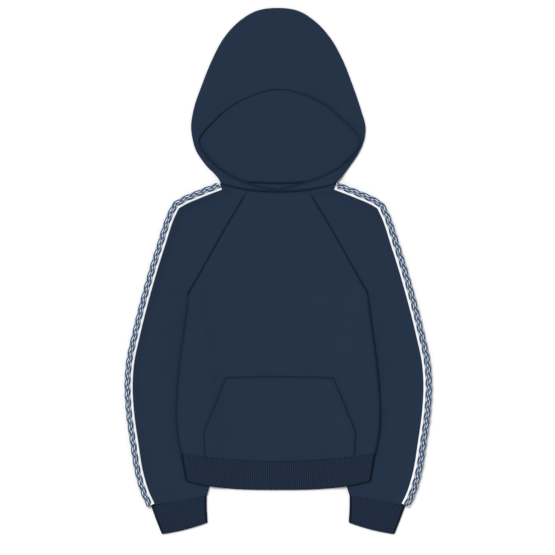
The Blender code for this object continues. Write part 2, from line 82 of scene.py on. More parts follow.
def placed(points):
    """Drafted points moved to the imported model: scaled in plan about its centre."""
    return points * SCALE + CENTRE


def mirrored(points, sign):
    """Points left where they are for sign 1, or moved across the middle line for sign -1."""
    return points * np.array([sign, 1.0, 1.0])


print("scale in plan:", np.round(SCALE[:2], 4))

# %% [markdown]
# The cloths. Sweatshirt knit is about 1.6 mm thick, the rib 2 mm, the tape 1 mm. Where two
# panels are sewn together their edges turn down into the seam, which leaves a shallow groove.
# Laid flat, the body rests over the sleeves at its sides, so its front climbs over them.

# %% Cloth and levels
CLOTH = 0.0016
RIB = 0.0020
TAPE = 0.0010
GAP = 0.0003
SEAM_GAP = 0.00004
# heights of two layers: lying flat, at a sleeve's outer fold and at the cuff
FLAT_HEIGHT = 0.0052
FOLD_HEIGHT = 0.0044
CUFF_HEIGHT = 0.0046
# lift of the body over a sleeve, and of a sleeve's fold over the trim beneath it
OVER_SLEEVE = 0.0041
TRIM_HEIGHT = 0.0032
# radius of an edge that turns down into a seam, and its share beside a rib band
SEAM_ROLL = 0.0013
BAND_DIP = 0.18
# share of the thickness left at a seam, and how far in the cloth is full again
PRESSED = 0.35
PRESS_REACH = 0.003
SEAM_STEPS = np.array([0.0, 0.00015, 0.0004, 0.0008, 0.0013, 0.0020, 0.0032])
ROW_STEP = 0.0032
# how much fainter a raglan seam's shade is at the neck, and how far down it fades
RAGLAN_FADE = 0.0024
RAGLAN_FADE_LENGTH = 0.022

# %% [markdown]
# A garment's outline is drawn by a few sections. `along` turns such a short table into a smooth
# function of the place in it: a cubic between two rows, with slopes taken from the rows around,
# which is how a flexible ruler runs through pins. Heights and other values stay between those of
# the two rows, so that no layer is pushed through another.

# %% Smooth sections and grids
OUTLINE_SAMPLES = 40


def along(table, places, free=2):
    """The columns of a table at fractional row places.

    Between rows i and i+1 each column is the cubic (2t3-3t2+1)a + (t3-2t2+t)u + (3t2-2t3)b +
    (t3-t2)v, where u and v are slopes over the chord lengths of the first two columns. The
    columns after the first `free` ones are held between a and b.
    """
    p = np.asarray(table, float)
    span = np.linalg.norm(np.diff(p[:, :2], axis=0), axis=1)
    slope = np.diff(p, axis=0) / span[:, None]
    share = (span[1:] / (span[:-1] + span[1:]))[:, None]
    tangent = np.vstack([slope[:1], slope[:-1] * share + slope[1:] * (1 - share), slope[-1:]])
    row = np.clip(np.floor(places).astype(int), 0, len(p) - 2)
    t = (np.asarray(places) - row)[:, None]
    a, b = p[row], p[row + 1]
    u, v = tangent[row] * span[row][:, None], tangent[row + 1] * span[row][:, None]
    values = ((2 * t**3 - 3 * t**2 + 1) * a + (t**3 - 2 * t**2 + t) * u
              + (3 * t**2 - 2 * t**3) * b + (t**3 - t**2) * v)
    held = np.clip(values, np.minimum(a, b), np.maximum(a, b))
    values[:, free:] = held[:, free:]
    return values


def spaced(length, step, edge=SEAM_STEPS):
    """Distances from 0 to length: close together at both ends, about a step apart between."""
    count = max(2, int(round((length - 2 * edge[-1]) / step)))
    middle = np.linspace(edge[-1], length - edge[-1], count)
    return np.concatenate([edge[:-1], middle, length - edge[-2::-1]])


def run_along(path):
    """Distance of each point of a path from its first, along the path."""
    return np.concatenate([[0], np.cumsum(np.linalg.norm(np.diff(path, axis=0), axis=1))])


def fine_outline(table):
    """Fine row places of a table, and the points of its smooth outline there."""
    fine = np.linspace(0, len(table) - 1, OUTLINE_SAMPLES * len(table))
    return fine, along(table, fine)[:, :2]


def places_at(table, distances):
    """Row places at distances along the smooth outline of a table."""
    fine, line = fine_outline(table)
    run = run_along(line)
    return np.interp(np.asarray(distances) / distances[-1] * run[-1], run, fine)


def outline_length(table):
    """Length of the smooth outline of a table."""
    return np.linalg.norm(np.diff(fine_outline(table)[1], axis=0), axis=1).sum()


def unit(vectors):
    """Vectors of the same directions, each one long."""
    return vectors / np.linalg.norm(vectors, axis=-1, keepdims=True)


def turned(ways):
    """Directions in plan, each turned a quarter clockwise."""
    return np.stack([ways[:, 1], -ways[:, 0]], axis=1)


def smooth(t):
    """An S-shaped step from 0 to 1."""
    t = np.clip(t, 0, 1)
    return t * t * (3 - 2 * t)


def stepped(x, knots, values):
    """A curve that moves from each value to the next between knots, by smooth steps.

    knots and values have one row for each row of x.
    """
    z = values[:, :1] + 0 * x
    for k in range(knots.shape[1] - 1):
        start, end = knots[:, k:k + 1], knots[:, k + 1:k + 2]
        climb = values[:, k + 1:k + 2] - values[:, k:k + 1]
        z = z + climb * smooth((x - start) / np.maximum(end - start, 1e-6))
    return z


def rolled(distance, radius=SEAM_ROLL):
    """How far the face of the cloth has turned down at a distance from a seam: a quarter circle."""
    t = np.clip(1 - distance / radius, 0, 1)
    return radius * (1 - np.sqrt(1 - 0.96 * t**2))


def pressed(distance, share=PRESSED, reach=PRESS_REACH):
    """Share of its full thickness that cloth has at a distance from a seam, which presses it."""
    return share + (1 - share) * smooth(distance / reach)


def grid(x, y, z):
    """Stacks three arrays, each broadcast to the same rows and columns, into points."""
    return np.stack(np.broadcast_arrays(x, y, z), axis=-1).astype(float)


def normals(points, ring=False):
    """Unit normals of a grid: the cross product of its slopes down and across."""
    down = np.gradient(points, axis=0)
    if ring:
        wide = np.concatenate([points[:, -1:], points, points[:, :1]], axis=1)
        across = (wide[:, 2:] - wide[:, :-2]) / 2
    else:
        across = np.gradient(points, axis=1)
    n = np.cross(down, across)
    return n / np.maximum(np.linalg.norm(n, axis=-1, keepdims=True), 1e-12)


# %% [markdown]
# Cloth that lies flat is never quite level. Each face gets broad, shallow undulations, and along
# a seam the thread draws the cloth into small puckers. Both are sums of sine waves with fixed
# phases, so the surface is the same every time.

# %% Undulation and puckers
PUCKER_PITCHES = (0.0072, 0.0113)
PUCKER_SWELL = 0.061
CREASE_BEND = 0.10


def undulation(x, y, height=0.00035, size=0.075, turn=0.0):
    """Broad soft waves: three crossing sine waves of different lengths, about `size` apart."""
    a, b = 2 * np.pi * x / size, 2 * np.pi * y / size
    wave = (np.sin(a * 0.83 + b * 0.41 + turn)
            + np.sin(-a * 0.37 + b * 0.71 + 1.7 + 2.3 * turn)
            + 0.6 * np.sin(a * 1.31 - b * 1.13 + 4.1 + turn))
    return height * wave / 2.6


def puckers(run, away, height=0.00022, reach=0.011, turn=0.0):
    """Small waves across a seam, `run` along it and `away` from it, that fade within `reach`."""
    short, long = PUCKER_PITCHES
    beat = np.sin(2 * np.pi * run / short + turn) + np.sin(2 * np.pi * run / long + 2 * turn)
    swell = 0.6 + 0.4 * np.sin(2 * np.pi * run / PUCKER_SWELL + turn)
    return height * beat * swell * np.exp(-((away / reach) ** 2)) / 2


def creases(x, y, table):
    """Soft ridges or troughs: each row is a line with a bell-shaped section and fading ends.

    The columns are x and y of both ends, width and height.
    """
    z = 0 * x
    for x0, y0, x1, y1, width, height in table:
        run = np.array([x1 - x0, y1 - y0])
        length = np.linalg.norm(run)
        run = run / length
        s = ((x - x0) * run[0] + (y - y0) * run[1]) / length
        d = -(x - x0) * run[1] + (y - y0) * run[0]
        bell = np.exp(-((d - CREASE_BEND * length * (s - s * s)) / width) ** 2)
        z = z + height * bell * smooth(2.5 * s) * smooth(2.5 * (1 - s))
    return z


# %% [markdown]
# A sheet becomes a piece of cloth in one function. The inner face is the outer one moved in
# along its normals by the cloth's thickness, thinner at the sewn edges where it is pressed, and
# strips close the rim. The piece carries two UV coordinates in metres, across and along the
# knit, and a value of painted shade that grows near its seams and edges, for the materials.

# %% From a grid to a piece of cloth
def closed(index):
    """A grid of point numbers with its first column set again beside its last."""
    return np.hstack([index, index[:, :1]])


def quads(index):
    """The four corners of every cell of a grid of point numbers."""
    corners = [index[:-1, :-1], index[:-1, 1:], index[1:, 1:], index[1:, :-1]]
    return np.stack(corners, axis=-1).reshape(-1, 4)


def shell_faces(rows, cols, ring, joined):
    """Quads of a closed wall between an outer and an inner grid.

    ring joins the last column to the first; joined leaves the last column without a strip.
    """
    index = np.arange(rows * cols).reshape(rows, cols)
    if ring:
        index = closed(index)
    top = quads(index)
    edges = [index[0], index[-1][::-1]]
    if not ring:
        edges += [index[::-1, 0]] + ([] if joined else [index[:, -1]])
    rim = [np.stack([e[:-1], e[:-1] + rows * cols, e[1:] + rows * cols, e[1:]], axis=1)
           for e in edges]
    return np.vstack([top, top[:, ::-1] + rows * cols] + rim)


def make_mesh(name, points, faces, uv, weld=False, **values):
    """A mesh of points and quads, with a UV map in metres and named values on its points.

    weld makes one point of those that lie in the same place.
    """
    uv = uv[faces.ravel()]
    if weld:
        _, first, same = np.unique(np.round(points, 6), axis=0, return_index=True,
                                   return_inverse=True)
        points = points[first]
        values = {key: value[first] for key, value in values.items()}
        faces = same.reshape(-1)[faces]
    mesh = bpy.data.meshes.new(name)
    mesh.vertices.add(len(points))
    mesh.vertices.foreach_set("co", points.astype(np.float32).ravel())
    mesh.loops.add(faces.size)
    mesh.loops.foreach_set("vertex_index", faces.ravel().astype(np.int32))
    mesh.polygons.add(len(faces))
    mesh.polygons.foreach_set("loop_start", np.arange(0, faces.size, 4, dtype=np.int32))
    mesh.update(calc_edges=True)
    layer = mesh.uv_layers.new(name="cloth")
    layer.uv.foreach_set("vector", uv.astype(np.float32).ravel())
    for key, value in values.items():
        attribute = mesh.attributes.new(key, "FLOAT", "POINT")
        attribute.data.foreach_set("value", value.astype(np.float32).ravel())
    mesh.shade_smooth()
    mesh.validate()
    return mesh


def added(name, data):
    """A new object in the scene, for a mesh, a lamp or a camera."""
    thing = bpy.data.objects.new(name, data)
    bpy.context.scene.collection.objects.link(thing)
    return thing


def piece(name, mesh, node, material):
    """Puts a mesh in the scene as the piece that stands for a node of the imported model."""
    thing = added(name, mesh)
    mesh.materials.append(material)
    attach(thing, "root")
    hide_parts(node)
    low, high = (np.array(c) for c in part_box(node))
    points = np.empty(len(mesh.vertices) * 3, np.float32)
    mesh.vertices.foreach_get("co", points)
    points = points.reshape(-1, 3)
    off = max(np.abs(points.min(0) - low).max(), np.abs(points.max(0) - high).max())
    print(f"{name}: {len(mesh.polygons)} faces, box within {off * 1000:.1f} mm of {node}")
    return thing


def cloth(name, node, material, outer, thickness, uv, seam, ring=False, flip=False,
          joined=False):
    """A wall of cloth: the outer grid, the same grid moved in, and the strips between them.

    joined is for a sheet whose two halves meet in the last column, on its level underside.
    """
    outward = normals(outer, ring)
    if flip:
        outward = -outward
    if joined:
        outward[:, -1] = (0.0, 0.0, -1.0)
    inner = outer - outward * np.broadcast_to(thickness, outer.shape[:2])[..., None]
    rows, cols = outer.shape[:2]
    faces = shell_faces(rows, cols, ring, joined)
    if not flip:
        faces = faces[:, ::-1]
    points = placed(np.vstack([outer.reshape(-1, 3), inner.reshape(-1, 3)]))
    both = np.vstack([uv.reshape(-1, 2)] * 2)
    # the seam value is painted shade: the material darkens the cloth by it
    near = np.concatenate([np.broadcast_to(seam, outer.shape[:2]).ravel()] * 2)
    mesh = make_mesh(name, points, faces, both, weld=joined, seam=near)
    return piece(name, mesh, node, material)


def seam_shade(distance, reach=0.0021):
    """Painted shade at a seam or edge: 1 on it, fading to 0 within about twice the reach."""
    return np.exp(-((distance / reach) ** 2))


def faint_at_neck(away, distance):
    """Distance from a raglan seam as its shade takes it: more near the neck, so it is faint."""
    return away + RAGLAN_FADE * (1 - smooth(distance / RAGLAN_FADE_LENGTH))


# %% [markdown]
# Top stitching. A row of stitches is a path on the cloth, cut into equal steps. Each stitch is a
# short thread that comes up out of the cloth, lies along the path and goes down again: a tube
# whose radius follows a half circle along its length, flattened on to the cloth.

# %% Stitches
STITCH_PITCH = 0.0034
STITCH_LENGTH = 0.0026
STITCH_HALF_WIDTH = 0.00027
STITCH_HALF_HEIGHT = 0.00022
STITCH_SIDES = 6
STITCH_PLACES = np.array([0.0, 0.12, 0.5, 0.88, 1.0])
STITCH_SWELL = np.array([0.25, 0.80, 1.0, 0.80, 0.25])
STITCH_RISE = np.array([-0.00016, 0.00002, 0.00008, 0.00002, -0.00016])


def tube_angles(sides):
    """Directions of the sides of a tube, evenly round it."""
    return (np.arange(sides) + 0.5) / sides * 2 * np.pi


def contour(points, field, level):
    """For each row, the point at which a field that rises along the row reaches a level."""
    row = np.arange(len(points))
    after = np.maximum(np.argmax(field > level, axis=1), 1)
    low, high = field[row, after - 1], field[row, after]
    share = np.clip((level - low) / (high - low), 0, 1)[:, None]
    return points[row, after - 1] * (1 - share) + points[row, after] * share


def stitch_row(path, up):
    """Points, faces and coordinates of the stitches of one row, on a path with its normals."""
    run = run_along(path)
    count = max(1, int(run[-1] / STITCH_PITCH))
    first = (np.arange(count) + 0.5) * run[-1] / count - STITCH_LENGTH / 2
    place = first[:, None] + STITCH_LENGTH * STITCH_PLACES
    middle, over = (np.stack([np.interp(place, run, values[:, k]) for k in range(3)], axis=-1)
                    for values in (path, up))
    side = unit(np.cross(over, np.gradient(middle, axis=1)))
    angle = tube_angles(STITCH_SIDES)
    wide = STITCH_SWELL[:, None] * STITCH_HALF_WIDTH * np.cos(angle)
    high = STITCH_SWELL[:, None] * STITCH_HALF_HEIGHT * np.sin(angle) + STITCH_RISE[:, None]
    points = (middle[:, :, None] + side[:, :, None] * wide[None, ..., None]
              + over[:, :, None] * high[None, ..., None])
    uv = np.stack(np.broadcast_arrays(place[..., None], angle * STITCH_HALF_WIDTH), axis=-1)
    index = np.arange(len(STITCH_PLACES) * STITCH_SIDES).reshape(-1, STITCH_SIDES)
    caps = np.array([[0, 3, 2, 1], [0, 5, 4, 3]])
    one = np.vstack([quads(closed(index)), caps, caps[:, ::-1] + index[-1, 0]])
    faces = (one[None] + np.arange(count)[:, None, None] * index.size).reshape(-1, 4)
    return points.reshape(-1, 3), faces, uv.reshape(-1, 2)


def stitching(name, node, paths, mirror=1.0):
    """One piece of sewing thread: the stitches of several rows, each a path and its normals."""
    rows = [stitch_row(*pair) for pair in paths]
    before = np.cumsum([0] + [len(points) for points, _, _ in rows])
    points = mirrored(np.vstack([points for points, _, _ in rows]), mirror)
    faces = np.vstack([faces + n for (_, faces, _), n in zip(rows, before)])
    mesh = make_mesh(name, placed(points), faces[:, ::-1] if mirror < 0 else faces,
                     np.vstack([uv for _, _, uv in rows]))
    return piece(name, mesh, node, SEWING_THREAD)


def facing_up(points, back=False):
    """Normals of a grid, turned to look up, or down where it is the back."""
    n = normals(points)
    return n * np.where((n[..., 2:] < 0) != back, -1.0, 1.0)


# %% [markdown]
# Materials. A knit is rows of interlocked loops: on its face each loop shows as a small V, the
# Vs stand in columns called wales, and between the columns is a fine groove. One node group
# draws that from the cloth's own coordinates, and both the sweatshirt knit and the rib use it at
# their own gauge. A second group gives the dye its slight unevenness and paints shade into the
# grooves and the seams.

# %% Node helpers
VECTOR, FLOAT, COLOUR = "NodeSocketVector", "NodeSocketFloat", "NodeSocketColor"
FULL_TURN = 6.2832


def new_group(name, inputs, outputs):
    """An empty shader node group with the given sockets, its input node and its output node."""
    group = bpy.data.node_groups.new(name, "ShaderNodeTree")
    for way, sockets in (("INPUT", inputs), ("OUTPUT", outputs)):
        for label, kind in sockets.items():
            group.interface.new_socket(label, in_out=way, socket_type=kind)
    start = group.nodes.new("NodeGroupInput")
    end = group.nodes.new("NodeGroupOutput")
    return group, start, end


def joined_node(tree, kind, inputs, **settings):
    """A new node of a tree, and what goes into it: numbers, colours or the sockets of others."""
    node = tree.nodes.new(kind)
    for key, value in settings.items():
        setattr(node, key, value)
    for key, value in inputs.items():
        if isinstance(value, bpy.types.NodeSocket):
            tree.links.new(value, node.inputs[key])
        else:
            node.inputs[key].default_value = (*value, 1.0) if isinstance(value, tuple) else value
    return node.outputs


def maths(tree, operation, *values):
    """A sum or other function of numbers and sockets."""
    return joined_node(tree, "ShaderNodeMath", dict(enumerate(values)), operation=operation)[0]


def mixed(tree, factor, first, second):
    """A mix of two colours by a factor."""
    return joined_node(tree, "ShaderNodeMix", {0: factor, 6: first, 7: second}, data_type="RGBA")[2]


def parted(tree, vector):
    """The first two coordinates of a vector."""
    coordinates = joined_node(tree, "ShaderNodeSeparateXYZ", {0: vector})
    return coordinates["X"], coordinates["Y"]


def sine(tree, value, length=1.0):
    """A sine wave of the given length."""
    return maths(tree, "SINE", maths(tree, "MULTIPLY", value, FULL_TURN / length))


def twisted(tree, place, pitch, lay):
    """The ply of a twisted thread or cord: a wave that slants, of a pitch along and a lay across."""
    x, y = parted(tree, place)
    turns = maths(tree, "ADD", maths(tree, "DIVIDE", x, pitch), maths(tree, "DIVIDE", y, lay))
    return sine(tree, turns)


def risen(tree, value, low, high):
    """A smooth step, from 0 where the value is low to 1 where it is high."""
    inputs = {"Value": value, "From Min": low, "From Max": high}
    return joined_node(tree, "ShaderNodeMapRange", inputs, interpolation_type="SMOOTHSTEP")["Result"]


def noise(tree, vector, scale, detail=2.0, roughness=0.5):
    """A noise texture."""
    inputs = {"Vector": vector, "Scale": scale, "Detail": detail, "Roughness": roughness}
    return joined_node(tree, "ShaderNodeTexNoise", inputs)["Fac"]


# %% The knit's loops
LOOP_SLANT = 0.55
LOOP_WAVE = 0.35
ARCH_POWER = 3.0


def knit_group():
    """Height of knitted loops. Across a wale the loop is an arch; along it, a wave whose crests
    slope down from the wale's middle to its sides, which draws the V."""
    group, start, end = new_group("knit loops", {"Vector": VECTOR, "Wale": FLOAT, "Course": FLOAT},
                                  {"Height": FLOAT, "Groove": FLOAT})
    x, y = parted(group, start.outputs["Vector"])
    across = maths(group, "DIVIDE", x, start.outputs["Wale"])
    down = maths(group, "DIVIDE", y, start.outputs["Course"])
    middle = maths(group, "ABSOLUTE", maths(group, "SUBTRACT", maths(group, "FRACT", across), 0.5))
    side = maths(group, "MULTIPLY", middle, 2.0)
    wave = sine(group, maths(group, "MULTIPLY_ADD", side, LOOP_SLANT, down))
    arch = maths(group, "SUBTRACT", 1.0, maths(group, "POWER", side, ARCH_POWER))
    height = maths(group, "MULTIPLY_ADD", maths(group, "MULTIPLY", wave, arch), LOOP_WAVE, arch)
    group.links.new(height, end.inputs["Height"])
    group.links.new(maths(group, "SUBTRACT", 1.0, arch), end.inputs["Groove"])
    return group


# %% The dye's unevenness and the painted shade of grooves and seams
PATCH_TONE = (0.14, 0.93)
FIBRE_TONE = (0.30, 0.85)
GROOVE_SHADE = 0.30


def dye_and_shade_group():
    """Colour: dye a little lighter and darker in patches, and painted shade in grooves and seams."""
    group, start, end = new_group(
        "dyed cloth and painted shade",
        {"Vector": VECTOR, "Colour": COLOUR, "Shade": COLOUR, "Seam": FLOAT, "Groove": FLOAT},
        {"Colour": COLOUR, "Fibre": FLOAT})
    patches = noise(group, start.outputs["Vector"], scale=22.0, detail=3.0)
    fibre = noise(group, start.outputs["Vector"], scale=1900.0, roughness=0.7)
    tone = maths(group, "MULTIPLY_ADD", patches, *PATCH_TONE)
    tone = maths(group, "MULTIPLY", tone, maths(group, "MULTIPLY_ADD", fibre, *FIBRE_TONE))
    bright = joined_node(group, "ShaderNodeVectorMath",
                         {0: start.outputs["Colour"], "Scale": tone}, operation="SCALE")[0]
    # painted shade: the colour is mixed towards the shade colour on seams and in the knit's grooves
    shade = maths(group, "MAXIMUM", start.outputs["Seam"],
                 maths(group, "MULTIPLY", start.outputs["Groove"], GROOVE_SHADE))
    colour = mixed(group, shade, bright, start.outputs["Shade"])
    group.links.new(colour, end.inputs["Colour"])
    group.links.new(fibre, end.inputs["Fibre"])
    return group


KNIT_LOOPS = knit_group()
DYE_AND_SHADE = dye_and_shade_group()

# %% [markdown]
# The navy cloths share one recipe: the loops feed a bump, the dye and the painted shade of grooves
# and seams feed the colour, and a soft sheen on the shader stands for the fine hairs of cotton.
# Sheen and roughness are plain numbers.

# %% Knit materials
NAVY = (0.0165, 0.0312, 0.0612)
# colours that painted shade mixes towards: seams, knit grooves, rib furrows, hood rim, thread twist
NAVY_SHADE = (0.0048, 0.0140, 0.0315)
RIB_NAVY = (0.0168, 0.0318, 0.0605)
RIB_SHADE = (0.0030, 0.0085, 0.0200)
THREAD_NAVY = (0.0150, 0.0262, 0.0490)
TAPE_WHITE = (0.93, 0.935, 0.95)
SHEEN_ROUGHNESS = 0.45
LOOP_DEPTH = 0.00016
PLY_SHADE = (0.15, 0.85)


def start_material(name, roughness, sheen, shine=0.10):
    """A new node material with its Principled shader set for matt cloth."""
    material = bpy.data.materials.new(name)
    material.use_nodes = True
    tree = material.node_tree
    shader = tree.nodes["Principled BSDF"]
    shader.inputs["Roughness"].default_value = roughness
    shader.inputs["Specular IOR Level"].default_value = shine
    shader.inputs["Sheen Weight"].default_value = sheen
    shader.inputs["Sheen Roughness"].default_value = SHEEN_ROUGHNESS
    return material, tree, shader


def point_value(tree, name):
    """A value that the mesh carries on its points."""
    return joined_node(tree, "ShaderNodeAttribute", {}, attribute_name=name)["Fac"]


def uv_in_metres(tree):
    """The cloth's own coordinates, across and along the knit."""
    return joined_node(tree, "ShaderNodeUVMap", {}, uv_map="cloth")["UV"]


def surfaced(tree, shader, colour, height, strength, depth):
    """Feeds the shader its colour, and its normal from a height through a bump."""
    tree.links.new(colour, shader.inputs["Base Color"])
    inputs = {"Strength": strength, "Distance": depth, "Height": height}
    tree.links.new(joined_node(tree, "ShaderNodeBump", inputs)["Normal"], shader.inputs["Normal"])


def thread_material():
    """Thread in the cloth's colour, the slant of its twist in a bump, painted shade in its grooves.
    """
    material, tree, shader = start_material("navy sewing thread", roughness=0.70, sheen=0.04)
    ply = twisted(tree, uv_in_metres(tree), pitch=0.00060, lay=0.00085)
    # painted shade: the low grooves of the twist are mixed towards the rib's shade colour
    tone = maths(tree, "MULTIPLY_ADD", ply, *PLY_SHADE)
    colour = mixed(tree, tone, RIB_SHADE, THREAD_NAVY)
    surfaced(tree, shader, colour, ply, strength=0.5, depth=0.00005)
    return material


def knit_material(name, colour, shade_colour, wale, course):
    """Dyed cotton knit: loops of the given wale width and course height, in metres."""
    material, tree, shader = start_material(name, roughness=0.88, sheen=0.04)
    place = uv_in_metres(tree)
    loops = joined_node(tree, "ShaderNodeGroup", {"Vector": place, "Wale": wale, "Course": course},
                        node_tree=KNIT_LOOPS)
    # the points' seam value is painted shade, which the dye group mixes in
    dye = joined_node(tree, "ShaderNodeGroup", {
        "Vector": place, "Colour": colour, "Shade": shade_colour, "Seam": point_value(tree, "seam"),
        "Groove": loops["Groove"]}, node_tree=DYE_AND_SHADE)
    height = maths(tree, "MULTIPLY_ADD", dye["Fibre"], 0.5, loops["Height"])
    surfaced(tree, shader, dye["Colour"], height, strength=0.7, depth=LOOP_DEPTH)
    return material


SWEATSHIRT_KNIT = knit_material("navy sweatshirt knit", NAVY, NAVY_SHADE, wale=0.00125, course=0.00095)
RIB_KNIT = knit_material("navy rib knit", RIB_NAVY, RIB_SHADE, wale=0.00150, course=0.00110)
SEWING_THREAD = thread_material()

# %% [markdown]
# The body. Front and back are cut alike below the armpits and meet in a side seam; above them
# the raglan seams slant in to the neck. Each row of the table is a line across the panel. At the
# sides the sheet climbs over the sleeve that lies under it, then curls down to the side seam, so
# the garment's side is round and the seam sits half way down it.

# %% Sections of the body
# edge_y, front_half, back_half, ramp_top, lift, height, dip, curl in degrees
BODY_SECTIONS = np.array((
    (0.1290, 0.0480, 0.0480, 0.0400, 0.0000, 0.0052, 0.0030, 0.0),
    (0.1010, 0.0648, 0.0695, 0.0560, 0.0000, 0.0052, 0.0030, 0.0),
    (0.0670, 0.0853, 0.0877, 0.0770, 0.0000, 0.0052, 0.0030, 0.0),
    (0.0370, 0.1020, 0.1037, 0.0940, 0.0000, 0.0052, 0.0030, 0.0),
    (0.0070, 0.1188, 0.1190, 0.1100, 0.0004, 0.0050, 0.0030, 0.0),
    (-0.0180, 0.1327, 0.1321, 0.1250, 0.0018, 0.0044, 0.0030, 0.0),
    (-0.0360, 0.1427, 0.1420, 0.1340, 0.0041, 0.0035, 0.0030, 0.0),
    (-0.0600, 0.1466, 0.1466, 0.1310, 0.0041, 0.0054, 0.0030, 45.0),
    (-0.1000, 0.1522, 0.1522, 0.1230, 0.0041, 0.0052, 0.0030, 90.0),
    (-0.1450, 0.1582, 0.1582, 0.1160, 0.0041, 0.0052, 0.0030, 90.0),
    (-0.1900, 0.1624, 0.1624, 0.1110, 0.0041, 0.0052, 0.0035, 90.0),
    (-0.2300, 0.1640, 0.1640, 0.1080, 0.0041, 0.0052, 0.0048, 90.0),
    (-0.2620, 0.1617, 0.1617, 0.1070, 0.0041, 0.0052, 0.0080, 90.0),
    (-0.2800, 0.1585, 0.1585, 0.1060, 0.0041, 0.0052, 0.0112, 90.0),
    (-0.2905, 0.1560, 0.1560, 0.1060, 0.0041, 0.0052, 0.0132, 90.0),
))
NECK_FRONT_Y = 0.1258
NECK_BACK_Y = 0.1415
SHOULDER_X = 0.0924
SHOULDER_Y = 0.1398
NECK_POWER = 2.2
NECK_SAG = 0.0016
NECK_SAG_HALF = 0.048
HEM_POWER = 2.0
NECK_REACH = 0.030
RAMP_WIDTH = 0.030
BODY_COLUMNS = 46
SEWN_CURL = 45.0
SEWN_SHADE = 0.7
SEAM_TURN = 75.0
SOFT_REACH = 0.012
PUCKER_SHIFT = 0.003
UNDER_WAVE = 0.3
CURL_LENGTH = 0.00385
CURL_STEPS = np.array([0, 0.15, 0.4, 0.7, 1.0, 1.4, 1.9, 2.5, 3.15, 3.85]) / 1000


def neck(x, back):
    """Place of the neck seam at x.

    The front's dips between the shoulders. The back's is nearly straight, and sags a little in
    the middle.
    """
    middle = NECK_BACK_Y if back else NECK_FRONT_Y
    line = middle + (SHOULDER_Y - middle) * (np.abs(x) / SHOULDER_X) ** NECK_POWER
    return line - back * NECK_SAG * smooth(1 - np.abs(x) / NECK_SAG_HALF)


def edge_profile(curl):
    """The side edge of the body, from the seam in to the flat, one row for each curl angle.

    The cloth's slope is the curl angle times how far it is into the edge strip, plus a sharp
    extra turn in the last millimetre, into the seam. Adding up its cosines and sines gives how
    far in and how far down each step of the strip lies.
    """
    mid = (CURL_STEPS[1:] + CURL_STEPS[:-1]) / 2
    slope = curl[:, None] * np.clip(1 - mid / CURL_LENGTH, 0, 1) ** 0.5
    slope = slope + np.radians(SEAM_TURN) * np.clip(1 - mid / SEAM_ROLL, 0, 1)
    zero = np.zeros((len(curl), 1))
    inward, down = (
        np.hstack([np.cumsum((np.diff(CURL_STEPS) * part)[:, ::-1], axis=1)[:, ::-1], zero])
        for part in (np.cos(slope), np.sin(slope)))
    return inward.max(axis=1, keepdims=True) - inward, down


# %% The body's two panels
FRONT_CREASES = (
    (-0.118, -0.020, -0.052, -0.075, 0.014, 0.0007),
    (0.120, -0.024, 0.058, -0.066, 0.013, 0.0006),
    (-0.104, -0.098, -0.060, -0.160, 0.016, -0.0005),
    (0.108, -0.110, 0.066, -0.172, 0.017, -0.0005),
    (-0.030, 0.096, 0.034, 0.088, 0.016, 0.0004),
)
BACK_CREASES = (
    (-0.110, -0.030, -0.040, -0.066, 0.015, 0.0006),
    (0.112, -0.026, 0.046, -0.070, 0.014, 0.0006),
    (-0.050, -0.230, 0.046, -0.222, 0.020, 0.0005),
)


def body_rows(back):
    """Fine rows of the body: the smooth table at even distances down the side."""
    table = BODY_SECTIONS.copy()
    if back:
        table[:, [1, 2]] = table[:, [2, 1]]
    table[0, 0] = neck(table[0, 1], back) - SEAM_GAP / 2
    distance = spaced(outline_length(table), ROW_STEP)
    return distance, along(table, places_at(table, distance))


def body_lift(x, ramp_top, lift):
    """How far the body is lifted at x by the sleeve beneath: a smooth ramp up to ramp_top."""
    return lift * smooth((np.abs(x) - ramp_top + RAMP_WIDTH) / RAMP_WIDTH)


def body_grid(back):
    """One panel of the body: points, distance to its seams, the same for shade, knit place."""
    distance, rows = body_rows(back)
    edge_y, half, _, ramp, lift, height, dip, curl = (c[:, None] for c in rows.T)
    outward, down = edge_profile(np.radians(curl[:, 0]))
    sewn = np.clip(curl / SEWN_CURL, 0, 1)
    wanted = (height - GAP) / 2 - CLOTH * 0.5 * np.cos(np.radians(curl))
    down = down * (1 + sewn * (wanted / down[:, :1] - 1))
    flat = half - outward[:, -1:]
    inside = flat * np.linspace(0, 1, BODY_COLUMNS)[None, :-1]
    x = np.hstack([inside, (half - outward)[:, ::-1]])
    drop = np.hstack([0 * inside, down[:, ::-1]])
    away = np.hstack([flat - inside + CURL_LENGTH, 0 * half + CURL_STEPS[None, ::-1]])
    share = np.abs(x) / half
    by_hem = edge_y - dip * (1 - share**HEM_POWER)
    by_neck = edge_y + neck(share * half[0], back) - neck(half[0], back)
    y = by_hem + (by_neck - by_hem) * (1 - smooth(distance[:, None] / NECK_REACH))
    ends = np.minimum(distance, distance[-1] - distance)[:, None]
    fall = rolled(distance)[:, None] + BAND_DIP * rolled(distance[-1] - distance)[:, None]
    seam = np.minimum(away, ends)
    total = drop + fall - drop * fall / SEAM_ROLL * (drop < SEAM_ROLL)
    table = BACK_CREASES if back else FRONT_CREASES
    soft = np.clip(seam / SOFT_REACH, 0, 1)
    up = body_lift(x, ramp, lift)
    # painted shade along the raglan and side seams: wider where the sides are sewn, faint near the
    # neck
    side = faint_at_neck((half - x) / (1 + SEWN_SHADE * sewn), distance[:, None])
    line = np.minimum(side, distance[:, None])
    halves = []
    for _, sign in SIDES:
        sx = x * sign
        wave = undulation(sx, y, turn=2.0 if back else 0.0) * soft + creases(sx, y, table) * soft
        wave = wave + puckers(distance[:, None] + PUCKER_SHIFT * sign, away) * (seam > 0)
        z = np.maximum(up + total - wave * UNDER_WAVE, 0) if back else up + height - total + wave
        halves.append((grid(sx, y, z), seam, line, grid(sx, y, 0)[..., :2]))
    return [np.concatenate([b[:, :0:-1], a], axis=1) for a, b in zip(*halves)]


